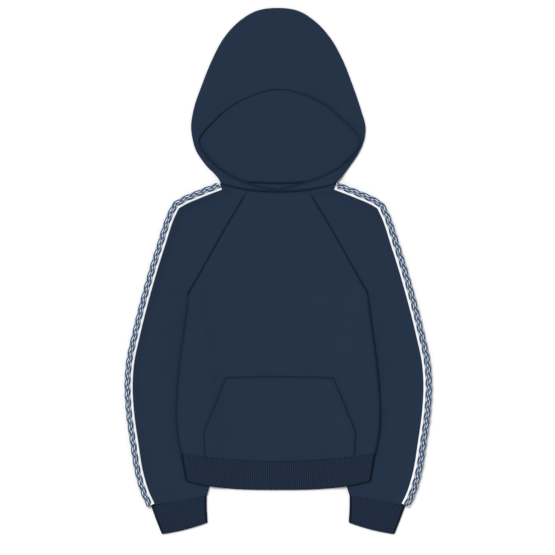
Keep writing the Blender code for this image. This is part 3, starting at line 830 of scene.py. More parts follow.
def body_panel(name, node, back):
    """The front or the back of the body, and the row of stitches above its rib."""
    points, seam, line, knit = body_grid(back)
    panel = cloth(name + "_cloth", node, SWEATSHIRT_KNIT, points,
                  CLOTH * pressed(seam), knit, seam_shade(line), flip=back)
    over = facing_up(points, back)
    ends = slice(len(CURL_STEPS), -len(CURL_STEPS))
    row = -len(SEAM_STEPS)
    thread = stitching(name + "_stitches", node, [(points[row, ends], over[row, ends])])
    return panel, thread


front, front_thread = body_panel("front", "front_panel", False)
back, back_thread = body_panel("back", "back_panel", True)

# %% [markdown]
# The pocket lies on the front, so its points are the front's own height, moved out. Three of its
# edges are sewn down all round and roll on to the front; along the two slanted sides it stands
# open by a millimetre, where the hands go in.

# %% Kangaroo pocket
# edge_y, half_width, opening
POCKET_SECTIONS = np.array((
    (-0.1697, 0.0861, 0.0),
    (-0.1917, 0.0953, 0.7),
    (-0.2136, 0.1044, 1.0),
    (-0.2356, 0.1133, 0.7),
    (-0.2575, 0.1220, 0.0),
    (-0.2770, 0.1213, 0.0),
    (-0.2968, 0.1204, 0.0),
))
POCKET_CROWN = 0.0020
POCKET_SHIFT = 0.0024
POCKET_CLEAR = 0.0004
POCKET_GAPE = 0.0012
POCKET_ROLL = 0.0011
POCKET_FLUSH = 0.7
POCKET_FLUSH_LENGTH = 0.010
POCKET_COLUMNS = 76
POCKET_SOFT = 0.020
POCKET_PRESSED = 0.45
GAPE_REACH = 0.030
PUCKER_CLEAR = 0.002
POCKET_CREASES = (
    (-0.070, -0.205, -0.010, -0.238, 0.016, 0.0006),
    (0.076, -0.200, 0.022, -0.246, 0.015, 0.0005),
)


def front_height(x, y):
    """Height of the front's face under the pocket, read from the body's own fine rows."""
    rows = body_rows(False)[1][::-1]
    level = y + np.interp(y, rows[:, 0], rows[:, 6])
    ramp, lift, height = (np.interp(level, rows[:, 0], rows[:, k]) for k in (3, 4, 5))
    wave = undulation(x, y) + creases(x, y, FRONT_CREASES)
    return body_lift(x, ramp, lift) + height + np.maximum(wave, 0)


def pocket_grid():
    """Points of the pocket, its thickness, distance to its seam lines, and its knit place."""
    length = POCKET_SECTIONS[0, 0] - POCKET_SECTIONS[-1, 0]
    fall = spaced(length, ROW_STEP)
    level = POCKET_SECTIONS[0, 0] - fall
    table = POCKET_SECTIONS[::-1]
    half, opening = (np.interp(level, table[:, 0], table[:, k])[:, None] for k in (1, 2))
    edge = SEAM_STEPS[None, :]
    middle = (half - edge[:, -1:]) * np.linspace(-1, 1, POCKET_COLUMNS)[None, 1:-1]
    x = np.hstack([-half + edge, middle, (half - edge)[:, ::-1]])
    away = half - np.abs(x)
    share = x / half
    x = x + POCKET_SHIFT
    dip = np.linspace(-POCKET_CROWN, 0.0, len(fall))[:, None]
    y = level[:, None] - dip * (1 - share**2)
    hem = BODY_SECTIONS[-1]
    seam_y = hem[0] - hem[6] * (1 - np.abs(x / hem[1]) ** HEM_POWER) + SEAM_GAP
    top = y[:1]
    y = top + (y - top) * (seam_y - top) / (y[-1:] - top)
    ends = np.minimum(fall, fall[-1] - fall)[:, None] + 0 * away
    low = front_height(x, y) + POCKET_CLEAR
    gape = POCKET_GAPE * opening * smooth(1 - away / GAPE_REACH)
    edges = np.minimum(away, ends)
    broad = undulation(x, y, height=0.0003, size=0.05, turn=3.0)
    wave = (broad + creases(x, y, POCKET_CREASES)) * smooth(edges / POCKET_SOFT)
    small = puckers(x, fall[:, None] + 0 * x, height=0.00018, reach=0.008, turn=1.0)
    wave = wave + small * smooth(fall / PUCKER_CLEAR)[:, None]
    line = np.minimum(away, fall[:, None])
    above_hem = (fall[-1] - fall)[:, None]
    layer = CLOTH * (1 - POCKET_FLUSH * (1 - smooth(above_hem / POCKET_FLUSH_LENGTH)))
    roll = np.maximum(rolled(line, POCKET_ROLL), BAND_DIP * rolled(above_hem, POCKET_ROLL))
    z = low + layer + gape + wave - roll
    return grid(x, y, z), layer * pressed(edges, POCKET_PRESSED), line, grid(x, y, 0)[..., :2]


points, thickness, line, knit = pocket_grid()
# painted shade along the pocket's sides and top edge
pocket = cloth("pocket_cloth", "pocket", SWEATSHIRT_KNIT, points,
               thickness, knit, seam_shade(line, reach=0.0025))
over = facing_up(points)
edge = len(SEAM_STEPS) - 1
rows = [(points[edge, edge:-edge], over[edge, edge:-edge])]
for column in (edge, edge + 2, -1 - edge, -3 - edge):
    rows.append((points[edge:-edge, column], over[edge:-edge, column]))
pocket_thread = stitching("pocket_stitches", "pocket", rows)

# %% [markdown]
# The ribs. A rib band is knitted in columns that stand up in ridges, so it stretches and grips.
# Hem and cuffs are the same thing at two sizes: a flat ring whose section is two layers joined
# by folds, with the ridges running down the band. The ridges are real relief, with their own
# number round the ring, and the band's free edge is the fold of the doubled cloth.

# %% Rib bands
RIB_PITCH = 0.00355
RIB_DEPTH = 0.00085
RIB_SAMPLES = 8
RIB_ROUNDNESS = 1.1
FURROW_SHADE = 0.9
FURROW_POWER = 1.2
FOLD_SHADE = 0.0016
RIB_PRESSED = 0.55
RIB_GROWTH = 0.35
RIB_PRESS_REACH = 0.004
BAND_ROLL = 0.0014
BAND_STEP = 0.0036
BAND_STEPS = np.array([0.0, 0.0002, 0.0006, 0.0011, 0.0018, 0.0030])


def ridges(turns):
    """Depth below the ridges' tops, for a count of ridges: wide round ridges, narrow furrows."""
    return RIB_DEPTH * (1 - np.abs(np.cos(np.pi * turns)) ** RIB_ROUNDNESS)


def rib_band(node, first, second, level, height, lift, bow, flip=False):
    """A flat ring of rib.

    first and second are the plan points of its two folds, one for each row; level is each
    row's distance from the seam. Round the ring the section runs over the top layer, round
    the second fold, back under and round the first fold, in steps of equal length. lift gives
    the height of what lies beneath, and bow how far the rows are bent down or up the garment.
    """
    width = np.linalg.norm(second - first, axis=1)
    radius = height / 2
    run = width[0] - 2 * radius
    turn = np.pi * radius
    around = 2 * (run + turn)
    count = 2 * int(round(around / RIB_PITCH / 2))
    s = np.arange(count * RIB_SAMPLES) / (count * RIB_SAMPLES) * around
    over = np.clip(s / run, 0, 1) - np.clip((s - run - turn) / run, 0, 1)
    bend = np.clip((s - run) / turn, 0, 1) + np.clip((s - 2 * run - turn) / turn, 0, 1)
    angle = np.pi / 2 - np.pi * bend
    depth = ridges(s / around * count)
    above_edge = level[-1] - level
    fall = (BAND_DIP * rolled(level, BAND_ROLL) + rolled(above_edge, BAND_ROLL))[:, None]
    place = (radius + (width[:, None] - 2 * radius) * over) / width[:, None]
    rim = np.minimum(place, 1 - place) * width[:, None] - radius
    rim = np.maximum(np.minimum(rim, above_edge[:, None]), 0)
    reach = radius - depth[None, :] - fall
    place = place + reach * np.cos(angle)[None, :] / width[:, None]
    plan = first[:, None] + (second - first)[:, None] * place[..., None]
    plan[..., 1] += bow(place, level[:, None])
    up = np.maximum(lift(plan[..., 0]) + radius + reach * np.sin(angle)[None, :], 0.0)
    points = grid(plan[..., 0], plan[..., 1], up)
    knit = grid(s[None, :] / around * count * RIB_PITCH, -level[:, None], 0)[..., :2]
    # painted shade in the furrows between the ridges, and along the folds and the free edge
    furrow = FURROW_SHADE * (depth / RIB_DEPTH)[None, :] ** FURROW_POWER
    near = np.minimum(level, above_edge)
    thickness = RIB * (RIB_PRESSED + RIB_GROWTH * smooth(near / RIB_PRESS_REACH))[:, None]
    band = cloth(node + "_cloth", node, RIB_KNIT, points, thickness, knit,
                 np.maximum(furrow, seam_shade(rim, FOLD_SHADE)), ring=True, flip=flip)
    return band, count


# edge_y, half_width, dip, power of the dip's curve
HEM_SECTIONS = np.array((
    (-0.29055, 0.1558, 0.0132, HEM_POWER),
    (-0.3050, 0.1534, 0.0138, 2.3),
    (-0.3200, 0.1508, 0.0143, 2.6),
    (-0.3350, 0.1482, 0.0147, 3.0),
))


def hem_rib():
    """The band round the hem, over the sleeves at its sides and dipping in the middle."""
    level = spaced(HEM_SECTIONS[0, 0] - HEM_SECTIONS[-1, 0], BAND_STEP, BAND_STEPS)
    y = HEM_SECTIONS[0, 0] - level
    half, dip, power = (np.interp(-y, -HEM_SECTIONS[:, 0], HEM_SECTIONS[:, k]) for k in (1, 2, 3))
    first = np.stack([-half, y], axis=1)
    second = np.stack([half, y], axis=1)
    return rib_band("hem_rib", first, second, level, FLAT_HEIGHT,
                    lift=lambda x: body_lift(x, BODY_SECTIONS[-1, 3], OVER_SLEEVE),
                    bow=lambda p, _: -dip[:, None] * (1 - np.abs(2 * p - 1) ** power[:, None]))


hem, ribs = hem_rib()
print("ribs round the hem:", ribs)

# %% Cuffs
# outer_x, outer_y, inner_x, inner_y
CUFF_SECTIONS = np.array((
    (0.2033, -0.3750, 0.1142, -0.3586),
    (0.1950, -0.3975, 0.1140, -0.3800),
    (0.1860, -0.4205, 0.1127, -0.4020),
))
CUFF_BOW = 0.0022


def cuff(side, sign):
    """A wrist band, narrower towards the hand, its free edge bowed a little."""
    total = outline_length(CUFF_SECTIONS)
    level = spaced(total, BAND_STEP, BAND_STEPS)
    rows = along(CUFF_SECTIONS, places_at(CUFF_SECTIONS, level))
    rows[:, [0, 2]] *= sign
    return rib_band(f"cuff_{side}", rows[:, 2:], rows[:, :2], level, CUFF_HEIGHT,
                    lift=lambda x: 0 * x,
                    bow=lambda p, s: -CUFF_BOW * s / total * 4 * p * (1 - p), flip=sign < 0)


for side, sign in SIDES:
    band, ribs = cuff(side, sign)
print("ribs round a cuff:", ribs)

# %% [markdown]
# The sleeves. A raglan sleeve is one piece, folded along its outer edge, with its seam under the
# arm. Laid flat it is two layers that meet in that fold. The sections fan round the shoulder:
# each runs from a point on the outer fold to a point on the raglan seam, or to the underarm seam
# that lies hidden under the body. The fold stands a little off the surface, because the trim
# passes round it.

# %% Sections of the sleeve
# Outer fold from the neck, over the shoulder, to the cuff: x, y
SLEEVE_FOLD = np.array((
    (0.0924, 0.1398), (0.1279, 0.1261), (0.1560, 0.1134), (0.1660, 0.1066), (0.1718, 0.0960),
    (0.1912, 0.0408), (0.2153, -0.0397), (0.2314, -0.1041), (0.2396, -0.1426), (0.2425, -0.1823),
    (0.2405, -0.2233), (0.2340, -0.2719), (0.2242, -0.3288), (0.2150, -0.3580), (0.2068, -0.3755),
))
# Underarm seam from the armpit to the cuff: x, y
UNDERARM = np.array((
    (0.1430, -0.0360), (0.1315, -0.0750), (0.1220, -0.1250), (0.1150, -0.1780), (0.1115, -0.2250),
    (0.1095, -0.2720), (0.1085, -0.3180), (0.1100, -0.3450), (0.1138, -0.3584),
))
ARMPIT = 6
# distance down the outer fold, place along the inner seam (a row of BODY_SECTIONS, then on from
# the armpit a point of UNDERARM), height at the seam, height at mid sleeve
SLEEVE_SECTIONS = np.array((
    (0.0000, 0.0, 0.0052, 0.0052),
    (0.0200, 0.5, 0.0052, 0.0052),
    (0.0400, 1.0, 0.0052, 0.0052),
    (0.0570, 1.5, 0.0052, 0.0052),
    (0.0700, 2.0, 0.0052, 0.0052),
    (0.0810, 2.5, 0.0052, 0.0052),
    (0.0910, 3.0, 0.0052, 0.0052),
    (0.1150, 3.5, 0.0052, 0.0052),
    (0.1430, 4.0, 0.0050, 0.0052),
    (0.1800, 5.0, 0.0044, 0.0050),
    (0.2130, 6.0, 0.0035, 0.0044),
    (0.2350, 6.5, 0.0035, 0.0037),
    (0.2570, 7.0, 0.0035, 0.0037),
    (0.3110, 8.0, 0.0035, 0.0037),
    (0.3710, 9.0, 0.0035, 0.0037),
    (0.4230, 10.0, 0.0035, 0.0037),
    (0.4750, 11.0, 0.0035, 0.0037),
    (0.5250, 12.0, 0.0035, 0.0037),
    (0.5580, 13.0, 0.0037, 0.0038),
    (0.5775, 14.0, 0.0046, 0.0046),
))
SLEEVE_LENGTH = SLEEVE_SECTIONS[-1, 0]
RAGLAN_AWAY = np.array([0.86, 0.5])
RAISED_REACH = 0.0101
SLOPE_REACH = 0.024
SLEEVE_COVER = 0.004
TRIM_CLEAR = 0.0125
NECK_BLEND = 0.020
ARMPIT_BLEND = 0.5
UNDERARM_FLAT = 0.6
SLOPE_MOST = 0.75
RAISED_MOST = 0.9
UNDER_BODY = 0.6
FOLD_SAMPLES = 800
FOLD_AHEAD = 0.02
SLEEVE_COLUMNS = 44
BY_BODY_X = 0.139
BY_BODY_WAVE = 0.15
BACK_WAVE = 0.4
FOLD_TURN = np.radians(np.linspace(90, 0, 8)[1:])
SLEEVE_CREASES = (
    (0.205, -0.010, 0.172, -0.052, 0.011, 0.0009),
    (0.212, -0.060, 0.178, -0.092, 0.010, 0.0006),
    (0.196, 0.036, 0.150, 0.004, 0.014, -0.0006),
    (0.228, -0.232, 0.176, -0.262, 0.012, 0.0009),
    (0.226, -0.268, 0.170, -0.290, 0.011, 0.0006),
    (0.212, -0.330, 0.150, -0.342, 0.008, 0.0006),
)


def fold_line(distance):
    """Points on the outer fold at distances down it, and the directions inwards from them."""
    even = np.linspace(0, SLEEVE_LENGTH, FOLD_SAMPLES)
    at = np.interp(distance, even, places_at(SLEEVE_FOLD, even))
    after = along(SLEEVE_FOLD, np.minimum(at + FOLD_AHEAD, len(SLEEVE_FOLD) - 1))
    before = along(SLEEVE_FOLD, np.maximum(at - FOLD_AHEAD, 0))
    return along(SLEEVE_FOLD, at), turned(unit(after - before))


def sleeve_seam(place, back):
    """Points of the sleeve's inner seam: along the raglan beside the body, then the underarm."""
    body = BODY_SECTIONS[:, [0, 2 if back else 1]].copy()
    body[0, 0] = neck(body[0, 1], back) - SEAM_GAP / 2
    raglan = along(body, np.minimum(place, ARMPIT))[:, ::-1] + RAGLAN_AWAY * SEAM_GAP
    under = along(UNDERARM, np.clip(place - ARMPIT, 0, len(UNDERARM) - 1))
    blend = smooth((place - ARMPIT) / ARMPIT_BLEND)[:, None]
    return raglan * (1 - blend) + under * blend


def covered(fold, way, width):
    """Distance from the fold at which each section passes under the body's side."""
    table = BODY_SECTIONS[ARMPIT:][::-1]
    reach = 0.5 * width
    for _ in range(4):
        y = fold[:, 1] + way[:, 1] * reach
        reach = (fold[:, 0] - np.interp(y, table[:, 0], table[:, 1]) - SLEEVE_COVER) / -way[:, 0]
    return reach


def sleeve_layer(distance, fold, inward, place, seam_height, mid_height, back):
    """One layer of the sleeve, from its inner seam to the start of the fold.

    Gives its plan and height, the distances to the seam and to the fold, each row's direction
    across the sleeve, and how squarely that direction meets the fold.
    """
    seam = sleeve_seam(place, back)
    way = seam - fold
    width = np.linalg.norm(way, axis=1)
    way = way / width[:, None]
    lean = np.sum(way * inward, axis=1)
    across = np.maximum(lean, 1 - smooth(distance / NECK_BLEND))
    turn = FOLD_HEIGHT / 2 / lean
    slope = np.minimum(SLOPE_REACH / across, SLOPE_MOST * width)
    raised = np.minimum(RAISED_REACH / across, RAISED_MOST * slope)
    hidden = smooth((place - ARMPIT + UNDER_BODY) / UNDER_BODY)
    cover = np.clip(covered(fold, way, width), slope + SLEEVE_COVER, width - SLEEVE_COVER)
    middle = 0.5 * (slope + width) * (1 - hidden) + cover * hidden
    flat = (width - SEAM_STEPS[-1])[:, None]
    even = flat + (turn[:, None] - flat) * np.linspace(0, 1, SLEEVE_COLUMNS)[None, 1:]
    reach = np.hstack([width[:, None] - SEAM_STEPS[None], even])
    knots = np.stack([raised, slope, middle, width], axis=1)
    top = 0.0 if back else 1.0
    base = np.stack(np.broadcast_arrays(TRIM_HEIGHT + top * FOLD_HEIGHT, top * FLAT_HEIGHT,
                                        top * mid_height, top * seam_height), axis=1)
    plan = fold[:, None] + way[:, None] * reach[..., None]
    return plan, stepped(reach, knots, base), width[:, None] - reach, reach, way, lean


def sleeve_grid():
    """Points of the left sleeve, front seam over the fold to back seam."""
    distance = spaced(SLEEVE_LENGTH, ROW_STEP)
    fold, inward = fold_line(distance)
    place, seam_height, mid_height = (
        np.interp(distance, SLEEVE_SECTIONS[:, 0], SLEEVE_SECTIONS[:, k]) for k in (1, 2, 3))
    radius = FOLD_HEIGHT / 2
    ends = np.minimum(distance, distance[-1] - distance)[:, None]
    parts = []
    for back in (False, True):
        plan, z, away, reach, way, lean = sleeve_layer(
            distance, fold, inward, place, seam_height, mid_height, back)
        wrong = neck(plan[0, :, 0], back) - SEAM_GAP / 2 - plan[0, :, 1]
        plan[..., 1] += wrong[None] * (1 - smooth(distance / NECK_BLEND))[:, None]
        sewn = (1 - UNDERARM_FLAT * smooth((place - ARMPIT) / ARMPIT_BLEND))[:, None]
        near = np.minimum(away, ends)
        end_fall = (rolled(distance) + BAND_DIP * rolled(distance[-1] - distance))[:, None]
        fall = rolled(away) * sewn + end_fall - rolled(away) * end_fall / SEAM_ROLL
        x, y = plan[..., 0], plan[..., 1]
        soft = smooth(near / SOFT_REACH) * smooth((reach - radius) / SOFT_REACH)
        free = 1.0 if back else np.where(x < BY_BODY_X, BY_BODY_WAVE, 1.0)
        broad = undulation(x, y, height=0.0004, size=0.085, turn=1.0 + 4.0 * back)
        wave = (broad + creases(x, y, SLEEVE_CREASES)) * soft * free
        wave = wave + puckers(distance[:, None], away, height=0.0002) * smooth(near / PUCKER_CLEAR)
        z = np.maximum(z + fall + np.maximum(wave, 0) * BACK_WAVE, 0) if back else z - fall + wave
        bend = (radius - radius * np.cos(FOLD_TURN))[None] / lean[:, None]
        arc = fold[:, None] + way[:, None] * bend[..., None]
        rise = TRIM_HEIGHT + radius + radius * np.sin(FOLD_TURN) * (-1 if back else 1)
        rows = np.concatenate([grid(x, y, z), grid(arc[..., 0], arc[..., 1], rise[None])], axis=1)
        knit = np.hstack([reach, radius * FOLD_TURN[None] - radius + 0 * lean[:, None]])
        seam = np.hstack([near, np.minimum(ends, 1.0) + 0 * arc[..., 0]])
        line = np.minimum(faint_at_neck(away, distance[:, None]), distance[:, None])
        line = np.hstack([line, distance[:, None] + 0 * arc[..., 0]])
        parts.append((rows, seam, line, -knit if back else knit))
    front, back = parts
    points, seam, line, across = (
        np.concatenate([f, b[:, -2::-1]], axis=1) for f, b in zip(front, back))
    return points, seam, line, grid(across, distance[:, None], 0)[..., :2]


# %% Sleeves
points, near, line, knit = sleeve_grid()
row = -len(SEAM_STEPS)
paths = []
for back, part in ((False, slice(len(SEAM_STEPS), None)), (True, slice(None, row))):
    clear = knit[row, :, 0] * (-1 if back else 1) > TRIM_CLEAR
    paths.append([values[row, clear][part] for values in (points, facing_up(points, back))])
for side, sign in SIDES:
    # painted shade along the sleeve's raglan and underarm seams and at its neck end
    cloth(
        f"sleeve_{side}_cloth", f"sleeve_{side}", SWEATSHIRT_KNIT,
        mirrored(points, sign), CLOTH * pressed(near), knit, seam_shade(line), flip=sign < 0)
    thread = stitching(f"sleeve_{side}_stitches", f"sleeve_{side}", paths, sign)

# %% [markdown]
# The trim. A flat white tape is wrapped round the outer fold of each sleeve and sewn down at
# both edges. On each face of it lies a flat plait of six cords, and the lobes at the outer
# edges of the two plaits meet at the fold. A cord runs from one edge of its plait to the other
# and back, and passes over one cord and under the next; the six follow each other at equal
# distances. A point of the plait is given by its distance down the sleeve, its distance across
# from the fold, and its height over the tape.

# %% White tape
TRIM_START = 0.0010
TAPE_REACH = 0.0100
FOLD_RADIUS = FOLD_HEIGHT / 2
FOLD_LEVEL = TRIM_HEIGHT + FOLD_RADIUS
TAPE_FACE = FOLD_RADIUS + GAP + TAPE
TAPE_ROLL = 0.0007
TAPE_DEEP = (0.70, 0.72, 0.76)
TAPE_TONE = (0.10, 0.95)
TAPE_FALL = 0.6
WARP_PITCH = 0.00075
WEFT_PITCH = 0.0011
UNDER_SHARE = 0.58


def over_fold(distance, across, height, radius=TAPE_FACE):
    """Points round the outer fold, from the distance down it, across its face and over it.

    The section is a half circle of the given radius about a line inside the fold, with level
    lines at its ends. On the underside there is less room, so heights shrink there.
    """
    point, inward = fold_line(distance.ravel())
    point = point.reshape(*distance.shape, 2)
    inward = inward.reshape(*distance.shape, 2)
    quarter = np.pi / 2 * radius
    angle = np.clip(across / radius, -np.pi / 2, np.pi / 2)
    level = np.maximum(np.abs(across) - quarter, 0)
    height = height * (1 - (1 - UNDER_SHARE) * smooth(-across / quarter))
    offset = FOLD_RADIUS - (radius + height) * np.cos(angle) + level
    z = FOLD_LEVEL + (radius + height) * np.sin(angle)
    return np.concatenate([point + inward * offset[..., None], z[..., None]], axis=-1)


def tape_grid():
    """Points of the tape's outer face, distance to its edges, and place across and along it."""
    distance = TRIM_START + spaced(SLEEVE_LENGTH - TRIM_START, 0.0045, SEAM_STEPS[:4])
    half = TAPE_REACH - FOLD_RADIUS + np.pi / 2 * TAPE_FACE
    across = half - spaced(2 * half, 0.0009, SEAM_STEPS[:4])
    d, w = np.meshgrid(distance, across, indexing="ij")
    edge = half - np.abs(w)
    points = over_fold(d, w, -TAPE_FALL * rolled(edge, TAPE_ROLL))
    return points, edge, np.stack([w, d], axis=-1)


def tape_material():
    """White woven tape: fine cords along it, crossed by weft, in a bump."""
    material, tree, shader = start_material("white woven tape", roughness=0.80, sheen=0.05)
    place = uv_in_metres(tree)
    x, y = parted(tree, place)
    warp = sine(tree, x, WARP_PITCH)
    weft = sine(tree, y, WEFT_PITCH)
    weave = maths(tree, "MULTIPLY", warp, weft)
    fibre = noise(tree, place, scale=1500.0)
    tone = maths(tree, "MULTIPLY_ADD", fibre, *TAPE_TONE)
    colour = mixed(tree, tone, TAPE_DEEP, TAPE_WHITE)
    height = maths(tree, "MULTIPLY_ADD", weave, 0.5, warp)
    surfaced(tree, shader, colour, height, strength=0.5, depth=0.00008)
    return material


WOVEN_TAPE = tape_material()
points, edge, weave = tape_grid()
for side, sign in SIDES:
    cloth(f"tape_{side}_cloth", f"tape_{side}", WOVEN_TAPE,
                        mirrored(points, sign), TAPE * pressed(edge, share=0.6, reach=0.001),
                        weave, 0 * edge, flip=sign > 0)

# %% Plaits
STRANDS = 6
LOBE_LENGTH = 0.0178
PLAIT_PERIOD = STRANDS * LOBE_LENGTH
PLAIT_MIDDLE = 0.0001
PLAIT_IN = 0.0040
PLAIT_OUT = 0.00480
PLAIT_CREST = TAPE_FACE + 0.0015
PLAIT_ROUNDING = 0.16
PLAIT_SKEW = 0.85
PLAIT_ROLL = 0.25
CORD_WIDTH = 0.00128
CORD_THICKNESS = 0.00062
CORD_LIFT = 0.00120
CORD_SIDES = 10
CORD_STEP = 0.00160
# a cord's pale heart and dark flanks: partly its two colours, partly a painted highlight and shade
CORD_HEART = (0.76, 0.87, 1.0)
# painted shade: the dark blue that a cord's heart turns where it passes under another
CORD_UNDER_SHADE = (0.060, 0.105, 0.200)
CORD_FLANK = (0.030, 0.058, 0.118)
PLAIT_START = TRIM_START + 0.0003
PLAIT_END = SLEEVE_LENGTH - 0.0001


def strand_path(distance, strand, slant):
    """Distance down the sleeve, place across the tape, height and roll of a cord's middle.

    Seen from above it is a triangle wave with rounded tips: the arcsine of a cosine that is
    held a little under 1. Outer places are pushed down or up the sleeve, by the slant. On its
    way across the cord meets the others at even steps, and passes over one (height 1) and
    under the next (height 0); at its turns it is half way up. It rolls inwards as it goes
    down over the fold.
    """
    turn = (distance - PLAIT_START) / PLAIT_PERIOD + strand / STRANDS
    held = (1 - PLAIT_ROUNDING**2) * np.cos(2 * np.pi * turn)
    wave = -np.arcsin(held) / np.arcsin(1 - PLAIT_ROUNDING**2)
    plan = PLAIT_MIDDLE + wave * np.where(wave > 0, PLAIT_OUT, PLAIT_IN)
    angle = np.arccos(np.clip(plan / PLAIT_CREST, 0, 1))
    across = np.where(plan > 0, TAPE_FACE * angle, np.pi / 2 * TAPE_FACE - plan)
    meeting = np.arange(2 * STRANDS + 1)
    passes = np.where(meeting < STRANDS, meeting % 2, 1 - (meeting - STRANDS) % 2)
    passes = np.where(meeting % STRANDS == 0, 0.5, passes)
    stage = (turn % 1.0) * 2 * STRANDS
    step = np.minimum(np.floor(stage).astype(int), 2 * STRANDS - 1)
    lift = passes[step] + (passes[step + 1] - passes[step]) * smooth(stage - step)
    roll = PLAIT_ROLL * (np.pi / 2 - angle)
    return distance + slant * PLAIT_SKEW * plan, across, lift if slant < 0 else 1 - lift, roll


def plaits(slant):
    """Points, faces, coordinates, facing and lift of the cords of both plaits, closed tubes."""
    count = int(round((PLAIT_END - PLAIT_START) / CORD_STEP))
    middle = np.linspace(PLAIT_START, PLAIT_END, count)
    angle = tube_angles(CORD_SIDES) - np.pi / 2
    index = np.arange(count * CORD_SIDES).reshape(count, CORD_SIDES)
    wall = quads(closed(index))[:, [0, 3, 2, 1]]
    caps = np.array([[0, 1, 2, 3], [0, 3, 4, 9], [4, 5, 8, 9], [5, 6, 7, 8]])
    tube = np.vstack([wall, caps, (caps + index[-1, 0])[:, ::-1]])
    tubes, values, faces = [], [], []
    for strand in range(STRANDS):
        down, across, lift, roll = strand_path(middle, strand, slant)
        run = np.stack([np.gradient(down), np.gradient(across)], axis=1)
        side = unit(run[:, ::-1] * np.array([-1.0, 1.0]))
        reach = CORD_WIDTH * np.cos(angle)[None, :]
        d = np.clip(down[:, None] + side[:, :1] * reach, PLAIT_START, PLAIT_END)
        w = across[:, None] + side[:, 1:] * reach
        h = CORD_THICKNESS * (1 + np.sin(angle))[None, :] + CORD_LIFT * lift[:, None]
        own = np.stack([middle[:, None] + 0 * w, angle[None, :] * CORD_WIDTH + 0 * w,
                        np.sin(angle[None, :] + roll[:, None]), lift[:, None] + 0 * w], axis=-1)
        for face in (1.0, -1.0):
            faces.append((tube if face > 0 else tube[:, ::-1]) + len(tubes) * index.size)
            tubes.append(over_fold(d, w * face, h).reshape(-1, 3))
            values.append(own.reshape(-1, 4))
    return np.vstack(tubes), np.vstack(faces), np.vstack(values)


def plait_material():
    """Pale-hearted, blue-flanked cords, with painted shade where one passes under another."""
    material, tree, shader = start_material("plaited blue and white cord", roughness=0.80, sheen=0.08)
    facing = point_value(tree, "facing")
    lift = point_value(tree, "lift")
    place = uv_in_metres(tree)
    ply = twisted(tree, place, pitch=0.0016, lay=0.0021)
    fibre = noise(tree, place, scale=900.0)
    # the pale heart is set on the face of each cord that looks out: partly two-tone cord, partly
    # painted highlight
    crest = risen(tree, maths(tree, "MULTIPLY_ADD", fibre, 0.2, facing), low=0.90, high=1.10)
    # painted shade: where a cord's lift is low, under another cord, its heart is painted dark blue
    shown = risen(tree, lift, low=0.50, high=0.95)
    colour = mixed(tree, crest, CORD_FLANK, mixed(tree, shown, CORD_UNDER_SHADE, CORD_HEART))
    height = maths(tree, "MULTIPLY_ADD", fibre, 0.5, ply)
    surfaced(tree, shader, colour, height, strength=0.5, depth=0.00012)
    return material


PLAITED_CORD = plait_material()
for side, sign in SIDES:
    points, faces, values = plaits(slant=-sign)
    mesh = make_mesh(f"braid_{side}_cords", placed(mirrored(points, sign)),
                     faces if sign > 0 else faces[:, ::-1], values[:, :2],
                     facing=values[:, 2], lift=values[:, 3])
    braid = piece(f"braid_{side}_cords", mesh, f"braid_{side}", PLAITED_CORD)

# %% [markdown]
# The hood. It is drawn like the sleeves: rows run round its outline from one side of the neck
# over the crown to the other side, and each row crosses the front layer from the rim of the face
# opening, turns round the outer fold and crosses the back layer to its centre line, where the
# two halves become one.

# %% Sections of the hood
# outline_y, outline_left, outline_right, rim_y, rim_left, rim_right, back_y
HOOD_SECTIONS = np.array((
    (0.1399, 0.0918, 0.0918, 0.1261, 0.0002, 0.0002, 0.1418),
    (0.1420, 0.0924, 0.0934, 0.1308, 0.0010, 0.0012, 0.1441),
    (0.1445, 0.0938, 0.0962, 0.1352, 0.0285, 0.0160, 0.1470),
    (0.1470, 0.0951, 0.0986, 0.1393, 0.0415, 0.0310, 0.1500),
    (0.1560, 0.1024, 0.1062, 0.1500, 0.0675, 0.0640, 0.1600),
    (0.1660, 0.1129, 0.1134, 0.1592, 0.0840, 0.0840, 0.1730),
    (0.1790, 0.1230, 0.1227, 0.1700, 0.0990, 0.1010, 0.1890),
    (0.1920, 0.1311, 0.1306, 0.1890, 0.1165, 0.1215, 0.2050),
    (0.2080, 0.1362, 0.1371, 0.2070, 0.1262, 0.1302, 0.2230),
    (0.2300, 0.1392, 0.1396, 0.2230, 0.1185, 0.1220, 0.2450),
    (0.2570, 0.1354, 0.1326, 0.2400, 0.1025, 0.1045, 0.2700),
    (0.2980, 0.1217, 0.1187, 0.2580, 0.0830, 0.0850, 0.3040),
    (0.3380, 0.1054, 0.1029, 0.2735, 0.0575, 0.0600, 0.3380),
    (0.3720, 0.0872, 0.0839, 0.2835, 0.0330, 0.0350, 0.3680),
    (0.3990, 0.0625, 0.0593, 0.2880, 0.0180, 0.0195, 0.3900),
    (0.4155, 0.0353, 0.0331, 0.2900, 0.0080, 0.0090, 0.4030),
    (0.4205, 0.0000, 0.0000, 0.2903, 0.0000, 0.0000, 0.4080),
))
HOOD_STEPS = np.concatenate([SEAM_STEPS, np.arange(0.0038, 0.0200, 0.0006)])
HOOD_RISE = 0.0011
HOOD_RISE_LENGTH = 0.060
HOOD_SINK = 0.0022
HOOD_SINK_Y = 0.215
HOOD_COLUMNS = 38
HOOD_SOFT = 0.010
HOOD_LIP = 0.0011
HOOD_FREE = 0.004
HOOD_CREST = 0.85
HOOD_SHADE = 0.0042
RIM_FAINT = 0.9
RIM_FAINT_Y = 0.175
RIM_FAINT_LENGTH = 0.050
RIM_LIT = 0.55
RIM_LIT_X = -0.020
RIM_LIT_WIDTH = 0.120
LEAN_LEAST = 0.5
HOOD_STITCH_START = 0.010
HOOD_STITCH_ROWS = (0.0035, 0.0095)
HOOD_CREASES = (
    (-0.118, 0.215, -0.098, 0.300, 0.012, 0.0006),
    (0.120, 0.212, 0.100, 0.296, 0.012, 0.0006),
    (-0.050, 0.318, 0.040, 0.330, 0.020, 0.0005),
)


